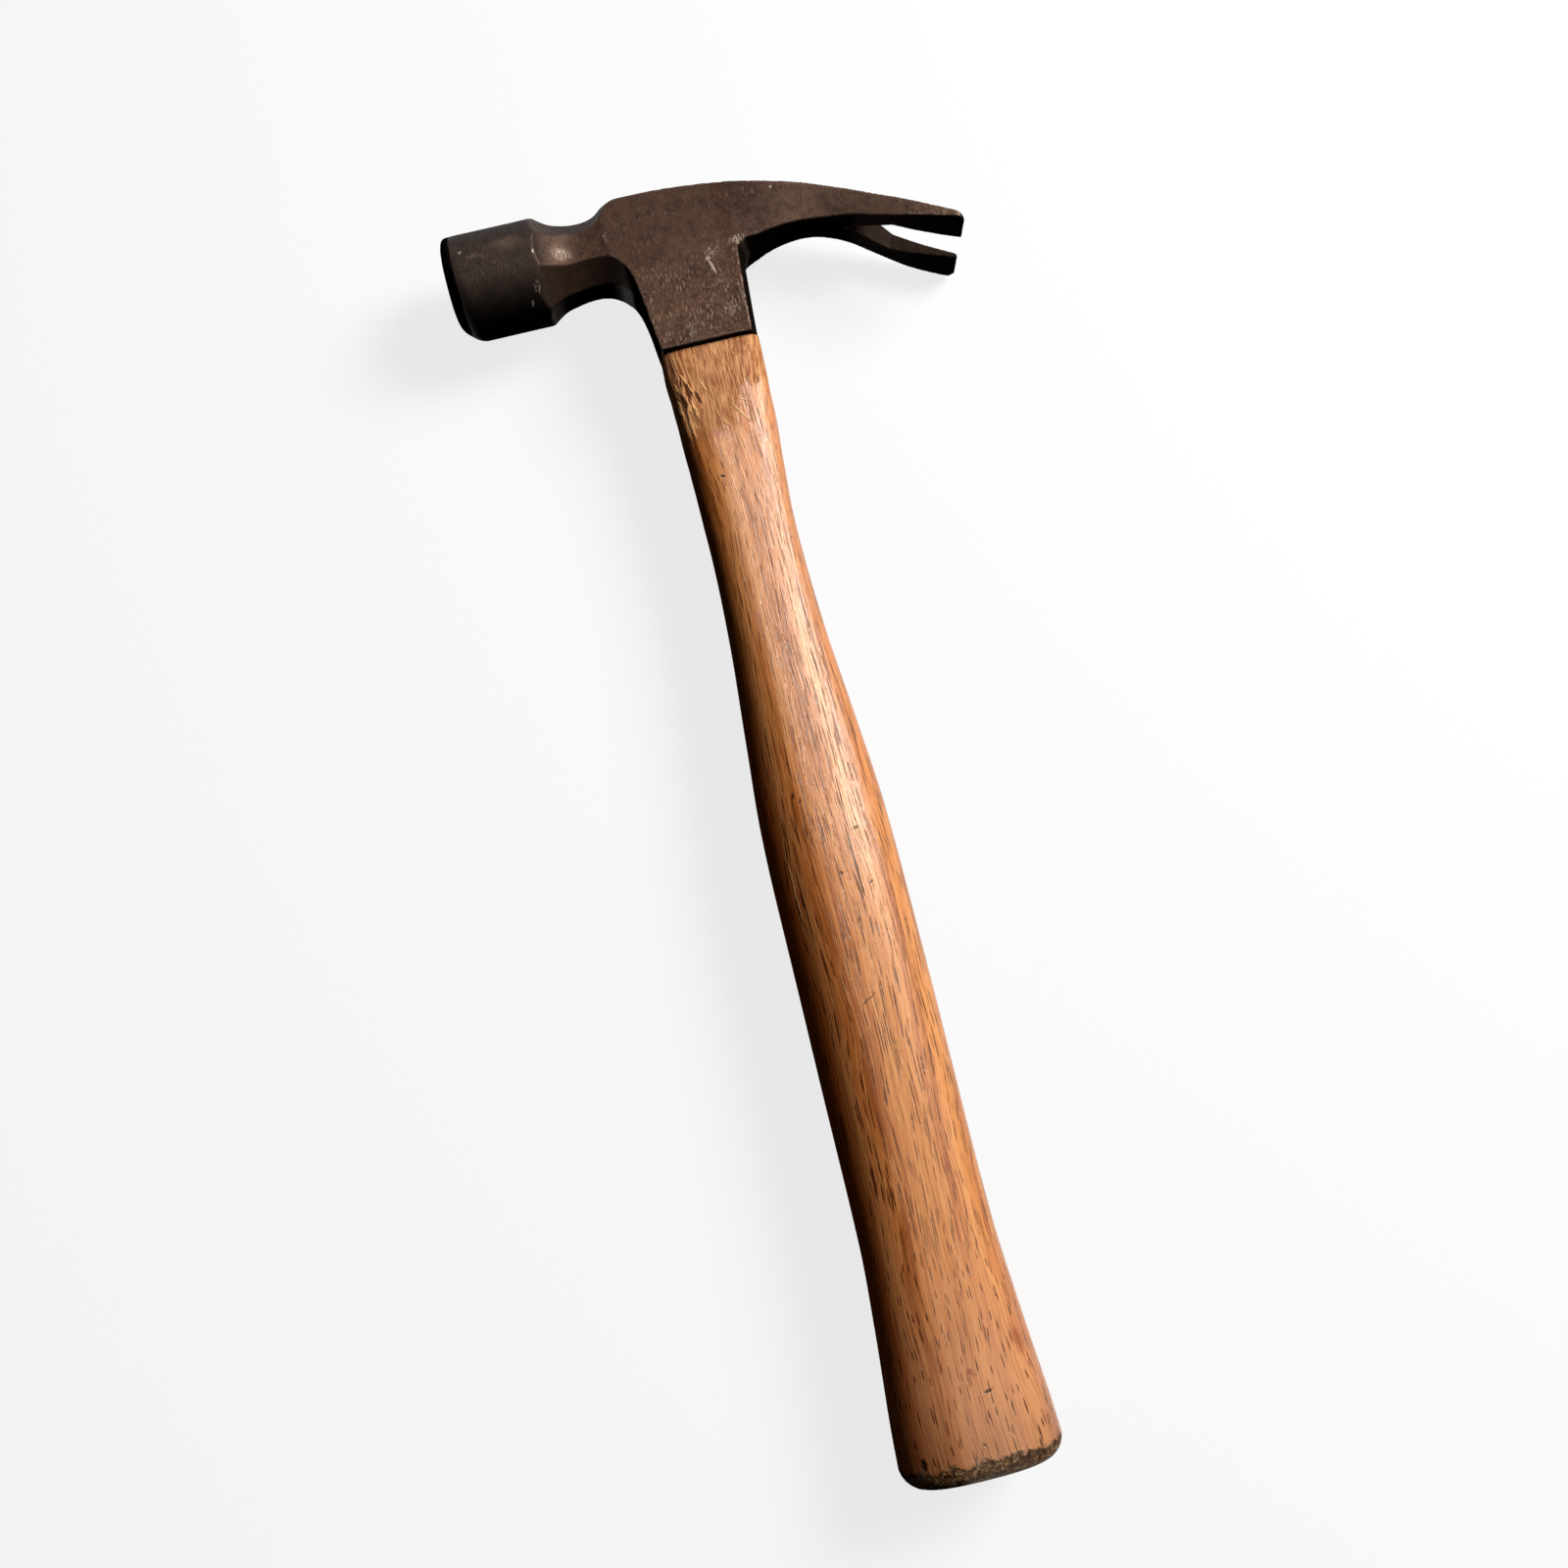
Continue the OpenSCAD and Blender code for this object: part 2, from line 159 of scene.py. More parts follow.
class Mesher:
    """Turns arrays of points and faces into meshes."""

    PROBE = 0.03
    SHADE_PROBE = 0.12
    LEAST_STEEP = 0.05
    TINY = 1e-9

    @staticmethod
    def build(name: str, points: Array, faces: Array, finish: Material, normals: Optional[Array] = None,
              carried: Optional[dict[str, Array]] = None) -> Piece:
        """Makes a mesh object from points in millimetres.

        Args:
            name: the piece's name.
            points: vertices about the handle's axis.
            faces: rows of three or four vertex numbers.
            finish: the material to give it.
            normals: a shading normal for each vertex, or None to smooth it.
            carried: named values for each vertex, which the material reads.

        Returns:
            The linked object.
        """
        mesh = bpy.data.meshes.new(name)
        rows = [[int(v) for v in row if v >= 0] for row in faces]
        mesh.from_pydata(PLACE.to_frame(points).tolist(), [], rows)
        mesh.polygons.foreach_set("use_smooth", np.ones(len(rows), bool))
        for label, values in (carried or {}).items():
            store = mesh.attributes.new(label, "FLOAT", "POINT")
            store.data.foreach_set("value", values.astype(np.float32))
        if normals is not None:
            mesh.normals_split_custom_set_from_vertices(normals.tolist())
        mesh.materials.append(finish)
        mesh.update()
        piece = bpy.data.objects.new(name, mesh)
        bpy.context.scene.collection.objects.link(piece)
        return piece

    @staticmethod
    def net(shape: Field, low: Sequence[float], high: Sequence[float], cell: float) -> tuple[Array, Array]:
        """Meshes the zero level of a field with one vertex in each mixed cell.

        Args:
            shape: the field, negative inside the solid.
            low: lowest corner of the grid.
            high: highest corner of the grid.
            cell: the grid's pitch.

        Returns:
            Vertices and quads that face outward.
        """
        axes = [np.arange(a, b + cell, cell) for a, b in zip(low, high)]
        value = shape(axes[0][:, None, None], axes[1][None, :, None], axes[2][None, None, :])
        value = value.astype(np.float32)
        inside = value < 0
        size = [n - 1 for n in value.shape]
        corners = list(product((0, 1), repeat=3))
        count = sum(inside[tuple(slice(a, a + n) for a, n in zip(corner, size))].astype(np.int8)
                    for corner in corners)
        mixed = (count > 0) & (count < len(corners))
        cells = np.argwhere(mixed)
        number = -np.ones(mixed.shape, np.int64)
        number[mixed] = np.arange(len(cells))
        total = np.zeros((len(cells), 3))
        hits = np.zeros(len(cells))
        for a in corners:
            for axis in range(3):
                if a[axis]:
                    continue
                step = np.eye(3, dtype=int)[axis]
                first = value[tuple((cells + a).T)]
                second = value[tuple((cells + a + step).T)]
                cross = (first < 0) != (second < 0)
                share = first[cross] / (first[cross] - second[cross])
                total[cross] += np.array(a) + share[:, None] * step
                hits[cross] += 1
        points = np.array([a[0] for a in axes]) + cell * (cells + total / hits[:, None])
        quads = []
        for axis in range(3):
            step = np.eye(3, dtype=int)[axis]
            over = np.eye(3, dtype=int)[(axis + 1) % 3]
            up = np.eye(3, dtype=int)[(axis + 2) % 3]
            span = tuple(slice(0, n - s) for n, s in zip(value.shape, step))
            moved = tuple(slice(s, n) for n, s in zip(value.shape, step))
            start = np.argwhere(inside[span] != inside[moved])
            outward = inside[tuple(start.T)]
            ring = [number[tuple((start - back).T)] for back in (0 * over, over, over + up, up)]
            quad = np.stack(ring, 1)
            quad[~outward] = quad[~outward][:, ::-1]
            quads.append(quad)
        return points, np.concatenate(quads)

    @staticmethod
    def slope(shape: Field, points: Array, reach: float) -> Array:
        """Reads how a field rises.

        Args:
            shape: the field.
            points: where to read it.
            reach: how far to either side it is read.

        Returns:
            The slope along each axis at each point.
        """
        columns = []
        for step in np.eye(3) * reach:
            columns.append(shape(*(points + step).T) - shape(*(points - step).T))
        return np.stack(columns, 1) / (2 * reach)

    @classmethod
    def settle(cls, shape: Field, points: Array, limit: float, rounds: int = 4) -> tuple[Array, Array]:
        """Moves points onto a field's zero level.

        Args:
            shape: the field.
            points: points near its surface.
            limit: the furthest that a point may move in one round.
            rounds: how many rounds to run.

        Returns:
            The points and their outward normals.
        """
        for _ in range(rounds):
            slope = cls.slope(shape, points, cls.PROBE)
            steep = np.maximum((slope**2).sum(1), cls.LEAST_STEEP)
            move = -(shape(*points.T) / steep)[:, None] * slope
            length = np.linalg.norm(move, axis=1, keepdims=True)
            points = points + move * np.minimum(1, limit / np.maximum(length, cls.TINY))
        slope = cls.slope(shape, points, cls.SHADE_PROBE)
        return points, slope / np.maximum(np.linalg.norm(slope, axis=1, keepdims=True), cls.TINY)

    @staticmethod
    def skin(rings: Array) -> Array:
        """Lists the faces over a stack of rings, with both end rings filled.

        Args:
            rings: points as ring, place on the ring and coordinate.

        Returns:
            Rows of vertex numbers, -1 where a triangle has no fourth. The middles of the first
            and the last ring are the two vertices after the rings.
        """
        count, across = rings.shape[:2]
        i, j = np.meshgrid(np.arange(count - 1), np.arange(across), indexing="ij")
        k = (j + 1) % across
        quads = np.stack([i * across + j, i * across + k, (i + 1) * across + k, (i + 1) * across + j], -1)
        spot = np.arange(across)
        after = (spot + 1) % across
        none = np.full(across, -1)
        last = (count - 1) * across
        start = np.stack([after, spot, np.full(across, count * across), none], 1)
        end = np.stack([last + spot, last + after, np.full(across, count * across + 1), none], 1)
        return np.concatenate([quads.reshape(-1, 4), start, end])


@dataclass(frozen=True)
class Mark:
    """A mark on a surface: its middle, half its length and width, and its turn from +X in degrees."""

    x: float
    y: float
    z: float
    long: float
    wide: float
    turn: float = 0.0
    deep: float = 3.0


def placed(*rows: Sequence[float]) -> tuple[Mark, ...]:
    """Returns marks from rows of their numbers."""
    return tuple(Mark(*row) for row in rows)


@dataclass(frozen=True)
class Grain:
    """A noise: how many of its cells lie in a millimetre along each axis, and its character."""

    scale: Sequence[float]
    detail: float = 3.0
    rough: float = 0.5
    bend: float = 0.0
    shift: Sequence[float] = (0, 0, 0)


def even(scale: float, detail: float = 3.0, rough: float = 0.5) -> Grain:
    """Returns a noise with cells as long as they are wide."""
    return Grain((scale,) * 3, detail, rough)


@dataclass(frozen=True)
class Strokes:
    """A scatter of strokes along Y: its pitch over and along them, and half their size in pitches."""

    across: float
    along: float
    size: float
    shift: Sequence[float] = (0, 0, 0)
    core: float = 0.55


class Graph:
    """Short calls for building the nodes of one material or world."""

    MARK_EDGE = 1.05

    def __init__(self, owner: bpy.types.ID) -> None:
        """Starts with nothing but the output.

        Args:
            owner: the material or world that the nodes belong to.
        """
        owner.use_nodes = True
        self.owner = owner
        self.tree = owner.node_tree
        self.tree.nodes.clear()
        kind = "World" if isinstance(owner, bpy.types.World) else "Material"
        self.output = self.tree.nodes.new("ShaderNodeOutput" + kind)

    @classmethod
    def named(cls, name: str) -> "Graph":
        """Returns the graph of a new material."""
        return cls(bpy.data.materials.new(name))

    def add(self, kind: str, inputs: Optional[dict] = None, **settings: object) -> bpy.types.Node:
        """Adds a node.

        Args:
            kind: the node's type, without its ShaderNode prefix.
            inputs: values or sockets by input name or number; None leaves an input as it is.
            **settings: the node's own properties.

        Returns:
            The node.
        """
        node = self.tree.nodes.new("ShaderNode" + kind)
        for key, value in settings.items():
            setattr(node, key, value)
        for key, value in (inputs or {}).items():
            if isinstance(value, Socket):
                self.tree.links.new(value, node.inputs[key])
            elif value is not None:
                node.inputs[key].default_value = value
        return node

    def math(self, kind: str, a: object, b: object = None, c: object = None) -> Socket:
        """Returns the result of one step of arithmetic on values or sockets."""
        return self.add("Math", {0: a, 1: b, 2: c}, operation=kind).outputs[0]

    def times(self, *values: object) -> Socket:
        """Returns the product of values."""
        return reduce(lambda a, b: self.math("MULTIPLY", a, b), values)

    def most(self, *values: object) -> Socket:
        """Returns the largest of values."""
        return reduce(lambda a, b: self.math("MAXIMUM", a, b), values)

    def raised(self, base: object, value: object, share: object) -> Socket:
        """Returns a base with a share of a value added."""
        return self.math("MULTIPLY_ADD", value, share, base)

    def total(self, *parts: tuple[object, object]) -> Socket:
        """Returns the sum of values, each with its share."""
        return reduce(lambda base, part: self.raised(base, *part), parts, 0.0)

    def span(self, value: Socket, low: float, high: float, start: float = 0.0, end: float = 1.0) -> Socket:
        """Returns a value carried smoothly from one range to another, and held at its ends."""
        return self.add("MapRange", {"Value": value, "From Min": low, "From Max": high, "To Min": start,
                                     "To Max": end}, interpolation_type="SMOOTHSTEP").outputs[0]

    def blend(self, share: object, a: object, b: object) -> Socket:
        """Returns colour a carried towards colour b by a share."""
        return self.add("Mix", {0: share, 6: a, 7: b}, data_type="RGBA").outputs[2]

    def coats(self, colour: object, *coats: tuple[object, object]) -> Socket:
        """Returns a colour under coats, each given as its share and its colour."""
        return reduce(lambda under, coat: self.blend(coat[0], under, coat[1]), coats, colour)

    def ramp(self, value: Socket, stops: Sequence[tuple[float, Sequence[float]]]) -> Socket:
        """Reads colours from a scale.

        Args:
            value: the places to read.
            stops: pairs of place and colour.

        Returns:
            The colours.
        """
        node = self.add("ValToRGB", {0: value})
        band = node.color_ramp
        while len(band.elements) < len(stops):
            band.elements.new(0.5)
        for element, (spot, colour) in zip(band.elements, stops):
            element.position = spot
            element.color = colour
        return node.outputs[0]

    def place(self) -> Socket:
        """Returns the surface point in millimetres in the shared frame."""
        spot = self.add("TexCoord").outputs["Object"]
        return self.add("VectorMath", {0: spot, "Scale": 1 / MM}, operation="SCALE").outputs[0]

    def split(self, vector: Socket) -> Sequence[Socket]:
        """Returns a vector's three parts."""
        return self.add("SeparateXYZ", {0: vector}).outputs

    def join(self, x: object, y: object, z: object) -> Socket:
        """Returns a vector made from three parts."""
        return self.add("CombineXYZ", {0: x, 1: y, 2: z}).outputs[0]

    def stretch(self, spot: Socket, scale: Sequence[float], shift: Sequence[float]) -> Socket:
        """Returns a point scaled along each axis and shifted."""
        return self.add("VectorMath", {0: spot, 1: tuple(scale), 2: tuple(shift)},
                        operation="MULTIPLY_ADD").outputs[0]

    def noise(self, spot: Socket, grain: Grain) -> Socket:
        """Returns noise between 0 and 1."""
        return self.add("TexNoise", {"Vector": self.stretch(spot, grain.scale, grain.shift), "Scale": 1.0,
                                     "Detail": grain.detail, "Roughness": grain.rough,
                                     "Distortion": grain.bend}).outputs[0]

    def ragged(self, spot: Socket, scale: float, reach: float) -> Socket:
        """Moves a point about, so that what is drawn with it gets a ragged outline.

        Args:
            spot: the point.
            scale: how many turns the outline makes in a millimetre.
            reach: the furthest that the point moves, in millimetres.

        Returns:
            The moved point.
        """
        drift = self.add("TexNoise", {"Vector": spot, "Scale": scale, "Detail": 3.0}).outputs["Color"]
        drift = self.stretch(drift, (2 * reach,) * 3, (-reach,) * 3)
        return self.add("VectorMath", {0: drift, 1: spot}).outputs[0]

    def dashes(self, spot: Socket, *scatters: Strokes) -> Socket:
        """Draws scatters of short strokes.

        Args:
            spot: the surface point in millimetres.
            *scatters: the strokes of each.

        Returns:
            1 in any of the strokes and 0 between them.
        """
        found = []
        for drawn in scatters:
            vector = self.stretch(spot, (1 / drawn.across, 1 / drawn.along, 0), drawn.shift)
            away = self.add("TexVoronoi", {"Vector": vector, "Scale": 1.0}, voronoi_dimensions="2D")
            found.append(self.span(away.outputs["Distance"], drawn.size * drawn.core, drawn.size, 1, 0))
        return self.most(*found)

    def marked(self, spot: Socket, marks: Sequence[Mark], core: float = 0.45) -> Socket:
        """Draws marks.

        Args:
            spot: the surface point in millimetres.
            marks: the marks.
            core: the share of a mark that is at full strength.

        Returns:
            1 in the core of any of the marks, falling to 0 past their edges.
        """
        found = []
        for mark in marks:
            centre = PLACE.to_frame((mark.x, mark.y, mark.z)) / MM
            inner = self.add("Mapping", {"Vector": spot, "Location": centre,
                                         "Rotation": (0, 0, math.radians(mark.turn)),
                                         "Scale": (mark.long, mark.wide, mark.deep)},
                             vector_type="TEXTURE")
            away = self.add("VectorMath", {0: inner.outputs[0]}, operation="LENGTH").outputs["Value"]
            found.append(self.span(away, core, self.MARK_EDGE, 1, 0))
        return self.most(*found)

    def carried(self, name: str) -> Socket:
        """Returns a value that the mesh carries on each vertex."""
        return self.add("Attribute", attribute_name=name).outputs["Fac"]

    def bump(self, height: Socket, depth: float) -> Socket:
        """Returns a normal bent by a height from 0 to 1 that stands for a depth in millimetres."""
        return self.add("Bump", {"Height": height, "Distance": depth * MM}).outputs[0]

    def end(self, shader: bpy.types.Node) -> bpy.types.ID:
        """Links the last shader to the output, and returns the material or world."""
        self.tree.links.new(shader.outputs[0], self.output.inputs[0])
        return self.owner

    def surface(self, inputs: dict) -> Material:
        """Ends the material in one main shader with the inputs given by name."""
        return self.end(self.add("BsdfPrincipled", inputs))


def tint(red: int, green: int, blue: int) -> tuple[float, float, float, float]:
    """Returns a shader colour from the 0 to 255 numbers that a screen shows."""
    share = [v / 255 for v in (red, green, blue)]
    linear = [v / 12.92 if v <= 0.04045 else ((v + 0.055) / 1.055)**2.4 for v in share]
    return (*linear, 1.0)


@dataclass(frozen=True)
class ForgedSteel:
    """Dark oxidised forging: worn brown flat sides, black scale in hollows, near-black painted shade
    underneath and painted highlights on the neck.

    Fields that end in _x or _y are the places in millimetres in the shared frame between which
    something sets in.
    """

    brown: tuple = tint(94, 67, 52)
    deep: tuple = tint(76, 53, 41)
    crown: tuple = tint(74, 52, 40)
    root: tuple = tint(60, 43, 35)
    claws: tuple = tint(104, 79, 65)
    poll: tuple = tint(60, 48, 41)
    scale: tuple = tint(13, 10, 9)
    fleck_and_sheen: tuple = tint(150, 122, 104)
    bright: tuple = tint(215, 194, 174)
    clouds: Grain = even(0.09)
    mottling: Grain = even(0.42, 5, 0.6)
    tooth: Grain = Grain((2.8, 1.1, 2.8), 4, 0.6)
    patches: Grain = even(0.17, 3, 0.6)
    brushing: Grain = Grain((3.0, 0.8, 1.0), 3, 0.6, shift=(4, 1, 7))
    pitting: Grain = even(0.21, 2)
    scuffs: tuple = (Strokes(1.3, 5.2, 0.19), Strokes(1.05, 3.8, 0.18, (3, 5, 0)))
    pits: Strokes = Strokes(1.9, 2.3, 0.12, (1, 8, 0))
    crown_y: tuple = (150, 164)
    root_x: tuple = (1, 14)
    claws_x: tuple = (12, 32)
    poll_x: tuple = (-38, -47)
    painted_face_shade_x: tuple = (-65.7, -66.1)
    low_y: tuple = (152, 143)
    low_x: tuple = (-48, -36)
    edge_x: tuple = (-44, -20)
    ridge_x: tuple = (4, 6)
    dull_x: tuple = ((0, 10), (38, 14))
    painted_neck_shade_x: tuple = ((-28, -24), (-17, -19))
    scars: tuple = placed((6.6, 20.0, 11.2, 2.9, 0.5, -75), (5.9, 22.6, 11.2, 0.9, 0.75),
                          (27.4, 40.1, 9.2, 0.5, 0.35), (-58.6, 38.6, 14.2, 0.6, 0.4, 40),
                          (-42.9, 22.6, 9.3, 0.9, 0.45, 70), (-39.4, 34.3, 14.3, 0.7, 0.35, 80))
    rubs: tuple = placed((-40.4, 24.9, 11.8, 1.2, 2.2), (8.8, 7.0, 11.2, 3.2, 2.6),
                         (-19.6, 35.5, 11.0, 0.8, 2.2), (36.8, 32.6, 8.8, 2.2, 1.0),
                         (15.2, 26.6, 10.5, 3.4, 1.6, 20), (7.5, 24.5, 11.2, 3.0, 1.6),
                         (-3.0, 4.0, 11.2, 1.8, 2.6), (12.6, 8.5, 11.2, 0.6, 7.5, 3))
    glint_and_scuffs: tuple = placed((-32.3, 33.6, 9.9, 3.7, 2.3, -14))
    painted_sheen: tuple = placed((-33.2, 34.6, 9.9, 5.6, 3.4, -10))
    smears: tuple = placed((-54.4, 36.4, 14.4, 3.2, 0.8, -8), (-31.0, 38.0, 9.5, 4.5, 5.0),
                           (-46.0, 38.6, 14.2, 6.5, 3.4, -8))
    relief: float = 0.13

    def material(self) -> Material:
        """Builds the node material.

        Returns:
            The material.
        """
        g = Graph.named("forged_steel")
        spot = g.place()
        x, y, _ = g.split(spot)
        # Painted shade: a share read from which way each face turns, near black under the head, fore and
        # aft, on the neck's top and in the slot.
        painted_shade = g.carried("painted_shade")
        mottle, tooth = g.noise(spot, self.mottling), g.noise(spot, self.tooth)
        brushed = g.span(g.noise(spot, self.brushing), 0.5, 0.64)
        drawn = g.ragged(spot, 0.8, 0.6)
        low = g.times(g.span(y, *self.low_y), g.span(x, *self.low_x))
        wear = g.raised(0.25, low, 0.75)
        flat = g.math("SUBTRACT", 1.0, painted_shade)
        # Marks of use, with a small painted highlight over scuffed metal and a broad painted highlight on
        # the neck
        patches = g.span(g.noise(spot, self.patches), 0.4, 0.62)
        scuff = g.times(g.dashes(spot, *self.scuffs), patches, wear, flat)
        pits = g.times(g.dashes(spot, self.pits), g.span(g.noise(spot, self.pitting), 0.5, 0.6))
        smear = g.times(g.marked(g.ragged(spot, 0.3, 2.5), self.smears, 0.0),
                        g.span(mottle, 0.3, 0.6, 0.4, 1))
        rub = g.times(g.marked(drawn, self.rubs), brushed)
        scar = g.times(g.marked(g.ragged(spot, 1.6, 0.25), self.scars), g.span(tooth, 0.25, 0.5))
        # A small painted highlight on the neck, over bright scuffed metal.
        glint_and_scuffs = g.times(g.marked(drawn, self.glint_and_scuffs, 0.3), g.span(brushed, 0, 1, 0.12, 1))
        # A broad soft painted highlight around the small one.
        painted_sheen = g.times(g.marked(drawn, self.painted_sheen, 0.0), g.span(brushed, 0, 1, 0.25, 0.55))
        edge = g.times(g.span(g.carried("edge"), 0.3, 0.9), g.span(mottle, 0.44, 0.6),
                       g.span(x, *self.edge_x, 0.25, 1),
                       g.span(g.times(low, g.span(x, *self.ridge_x)), 0, 1, 0.3, 0.95),
                       g.span(painted_shade, 0, 0.8, 1, 0))
        # Places with a tone of their own, and painted shade at the neck's end and over the poll's face
        on_poll = g.span(g.math("ADD", x, g.span(mottle, 0, 1, -4, 4)), *self.poll_x)
        # Painted shade where the neck meets the cheek.
        painted_neck_shade = g.times(*(g.span(x, *ends) for ends in self.painted_neck_shade_x))
        # Painted shade over the poll's striking face and rim bevel.
        face = g.span(g.raised(x, mottle, 1.2), *self.painted_face_shade_x)
        ground = g.blend(g.span(g.noise(spot, self.clouds), 0.35, 0.65), self.deep, self.brown)
        colour = g.coats(ground, (g.span(y, *self.crown_y, 0, 0.8), self.crown),
                         (g.span(x, *self.root_x, 0, 0.8), self.root),
                         (g.span(x, *self.claws_x), self.claws), (on_poll, self.poll),
                         (g.span(mottle, 0.42, 0.68, 0, 0.42), self.scale),
                         (g.times(g.span(tooth, 0.5, 0.68, 0, 0.38), wear), self.fleck_and_sheen),
                         (g.times(g.span(tooth, 0.46, 0.32, 0, 0.5), wear), self.scale),
                         (g.times(smear, 0.3), self.fleck_and_sheen), (g.times(scuff, 0.75), self.fleck_and_sheen),
                         # Painted shade, near black, underneath, fore and aft and on the neck's top,
                         # deeper where the neck meets the cheek.
                         (g.times(painted_shade, 0.95), self.scale),
                         (g.times(painted_neck_shade, painted_shade, 0.85), self.scale),
                         (g.span(g.carried("hollow"), 0.1, 0.8, 0, 0.7), self.scale),
                         # Real edge wear, a broad painted highlight, real rubs, a small painted highlight
                         # on scuffed metal and real scars.
                         (edge, self.fleck_and_sheen), (painted_sheen, self.fleck_and_sheen), (g.times(rub, 0.55), self.bright),
                         (g.times(glint_and_scuffs, 0.8), self.bright), (g.times(scar, 0.6), self.bright),
                         # Real pits, then painted shade over the poll's face.
                         (g.times(pits, 0.6), self.scale), (g.times(face, 0.9), self.scale))
        dull = g.times(*(g.span(x, *ends) for ends in self.dull_x))
        shine = g.times(flat, g.span(face, 0, 1, 1, 0), g.span(dull, 0, 1, 1, 0.15))
        height = g.total((mottle, 1.0), (tooth, 0.3), (scuff, -0.15), (pits, -0.6))
        rough = g.raised(g.span(mottle, 0.3, 0.7, 0.44, 0.54), g.most(rub, scar), -0.14)
        return g.surface({"Base Color": colour, "Metallic": g.times(shine, 0.2), "Roughness": rough,
                          "Specular IOR Level": g.times(shine, 0.12),
                          "Normal": g.bump(height, self.relief)})


@dataclass(frozen=True)
class Fibres:
    """The handle's surface as its finish reads it.

    The point, its parts across and along the handle, the point unrolled along the grain, the
    shady side, and noises of the wood.
    """

    spot: Socket
    side: Socket
    along: Socket
    unrolled: Socket
    shady: Socket
    streaks: Socket
    threads: Socket
    rag: Socket
    grit: Socket


@dataclass(frozen=True)
class Zone:
    """One worn part of a surface: its outline, its coats from the lowest up, and its relief."""

    outline: Socket
    coats: Sequence[tuple[object, object]]
    relief: Sequence[tuple[object, object]] = ()


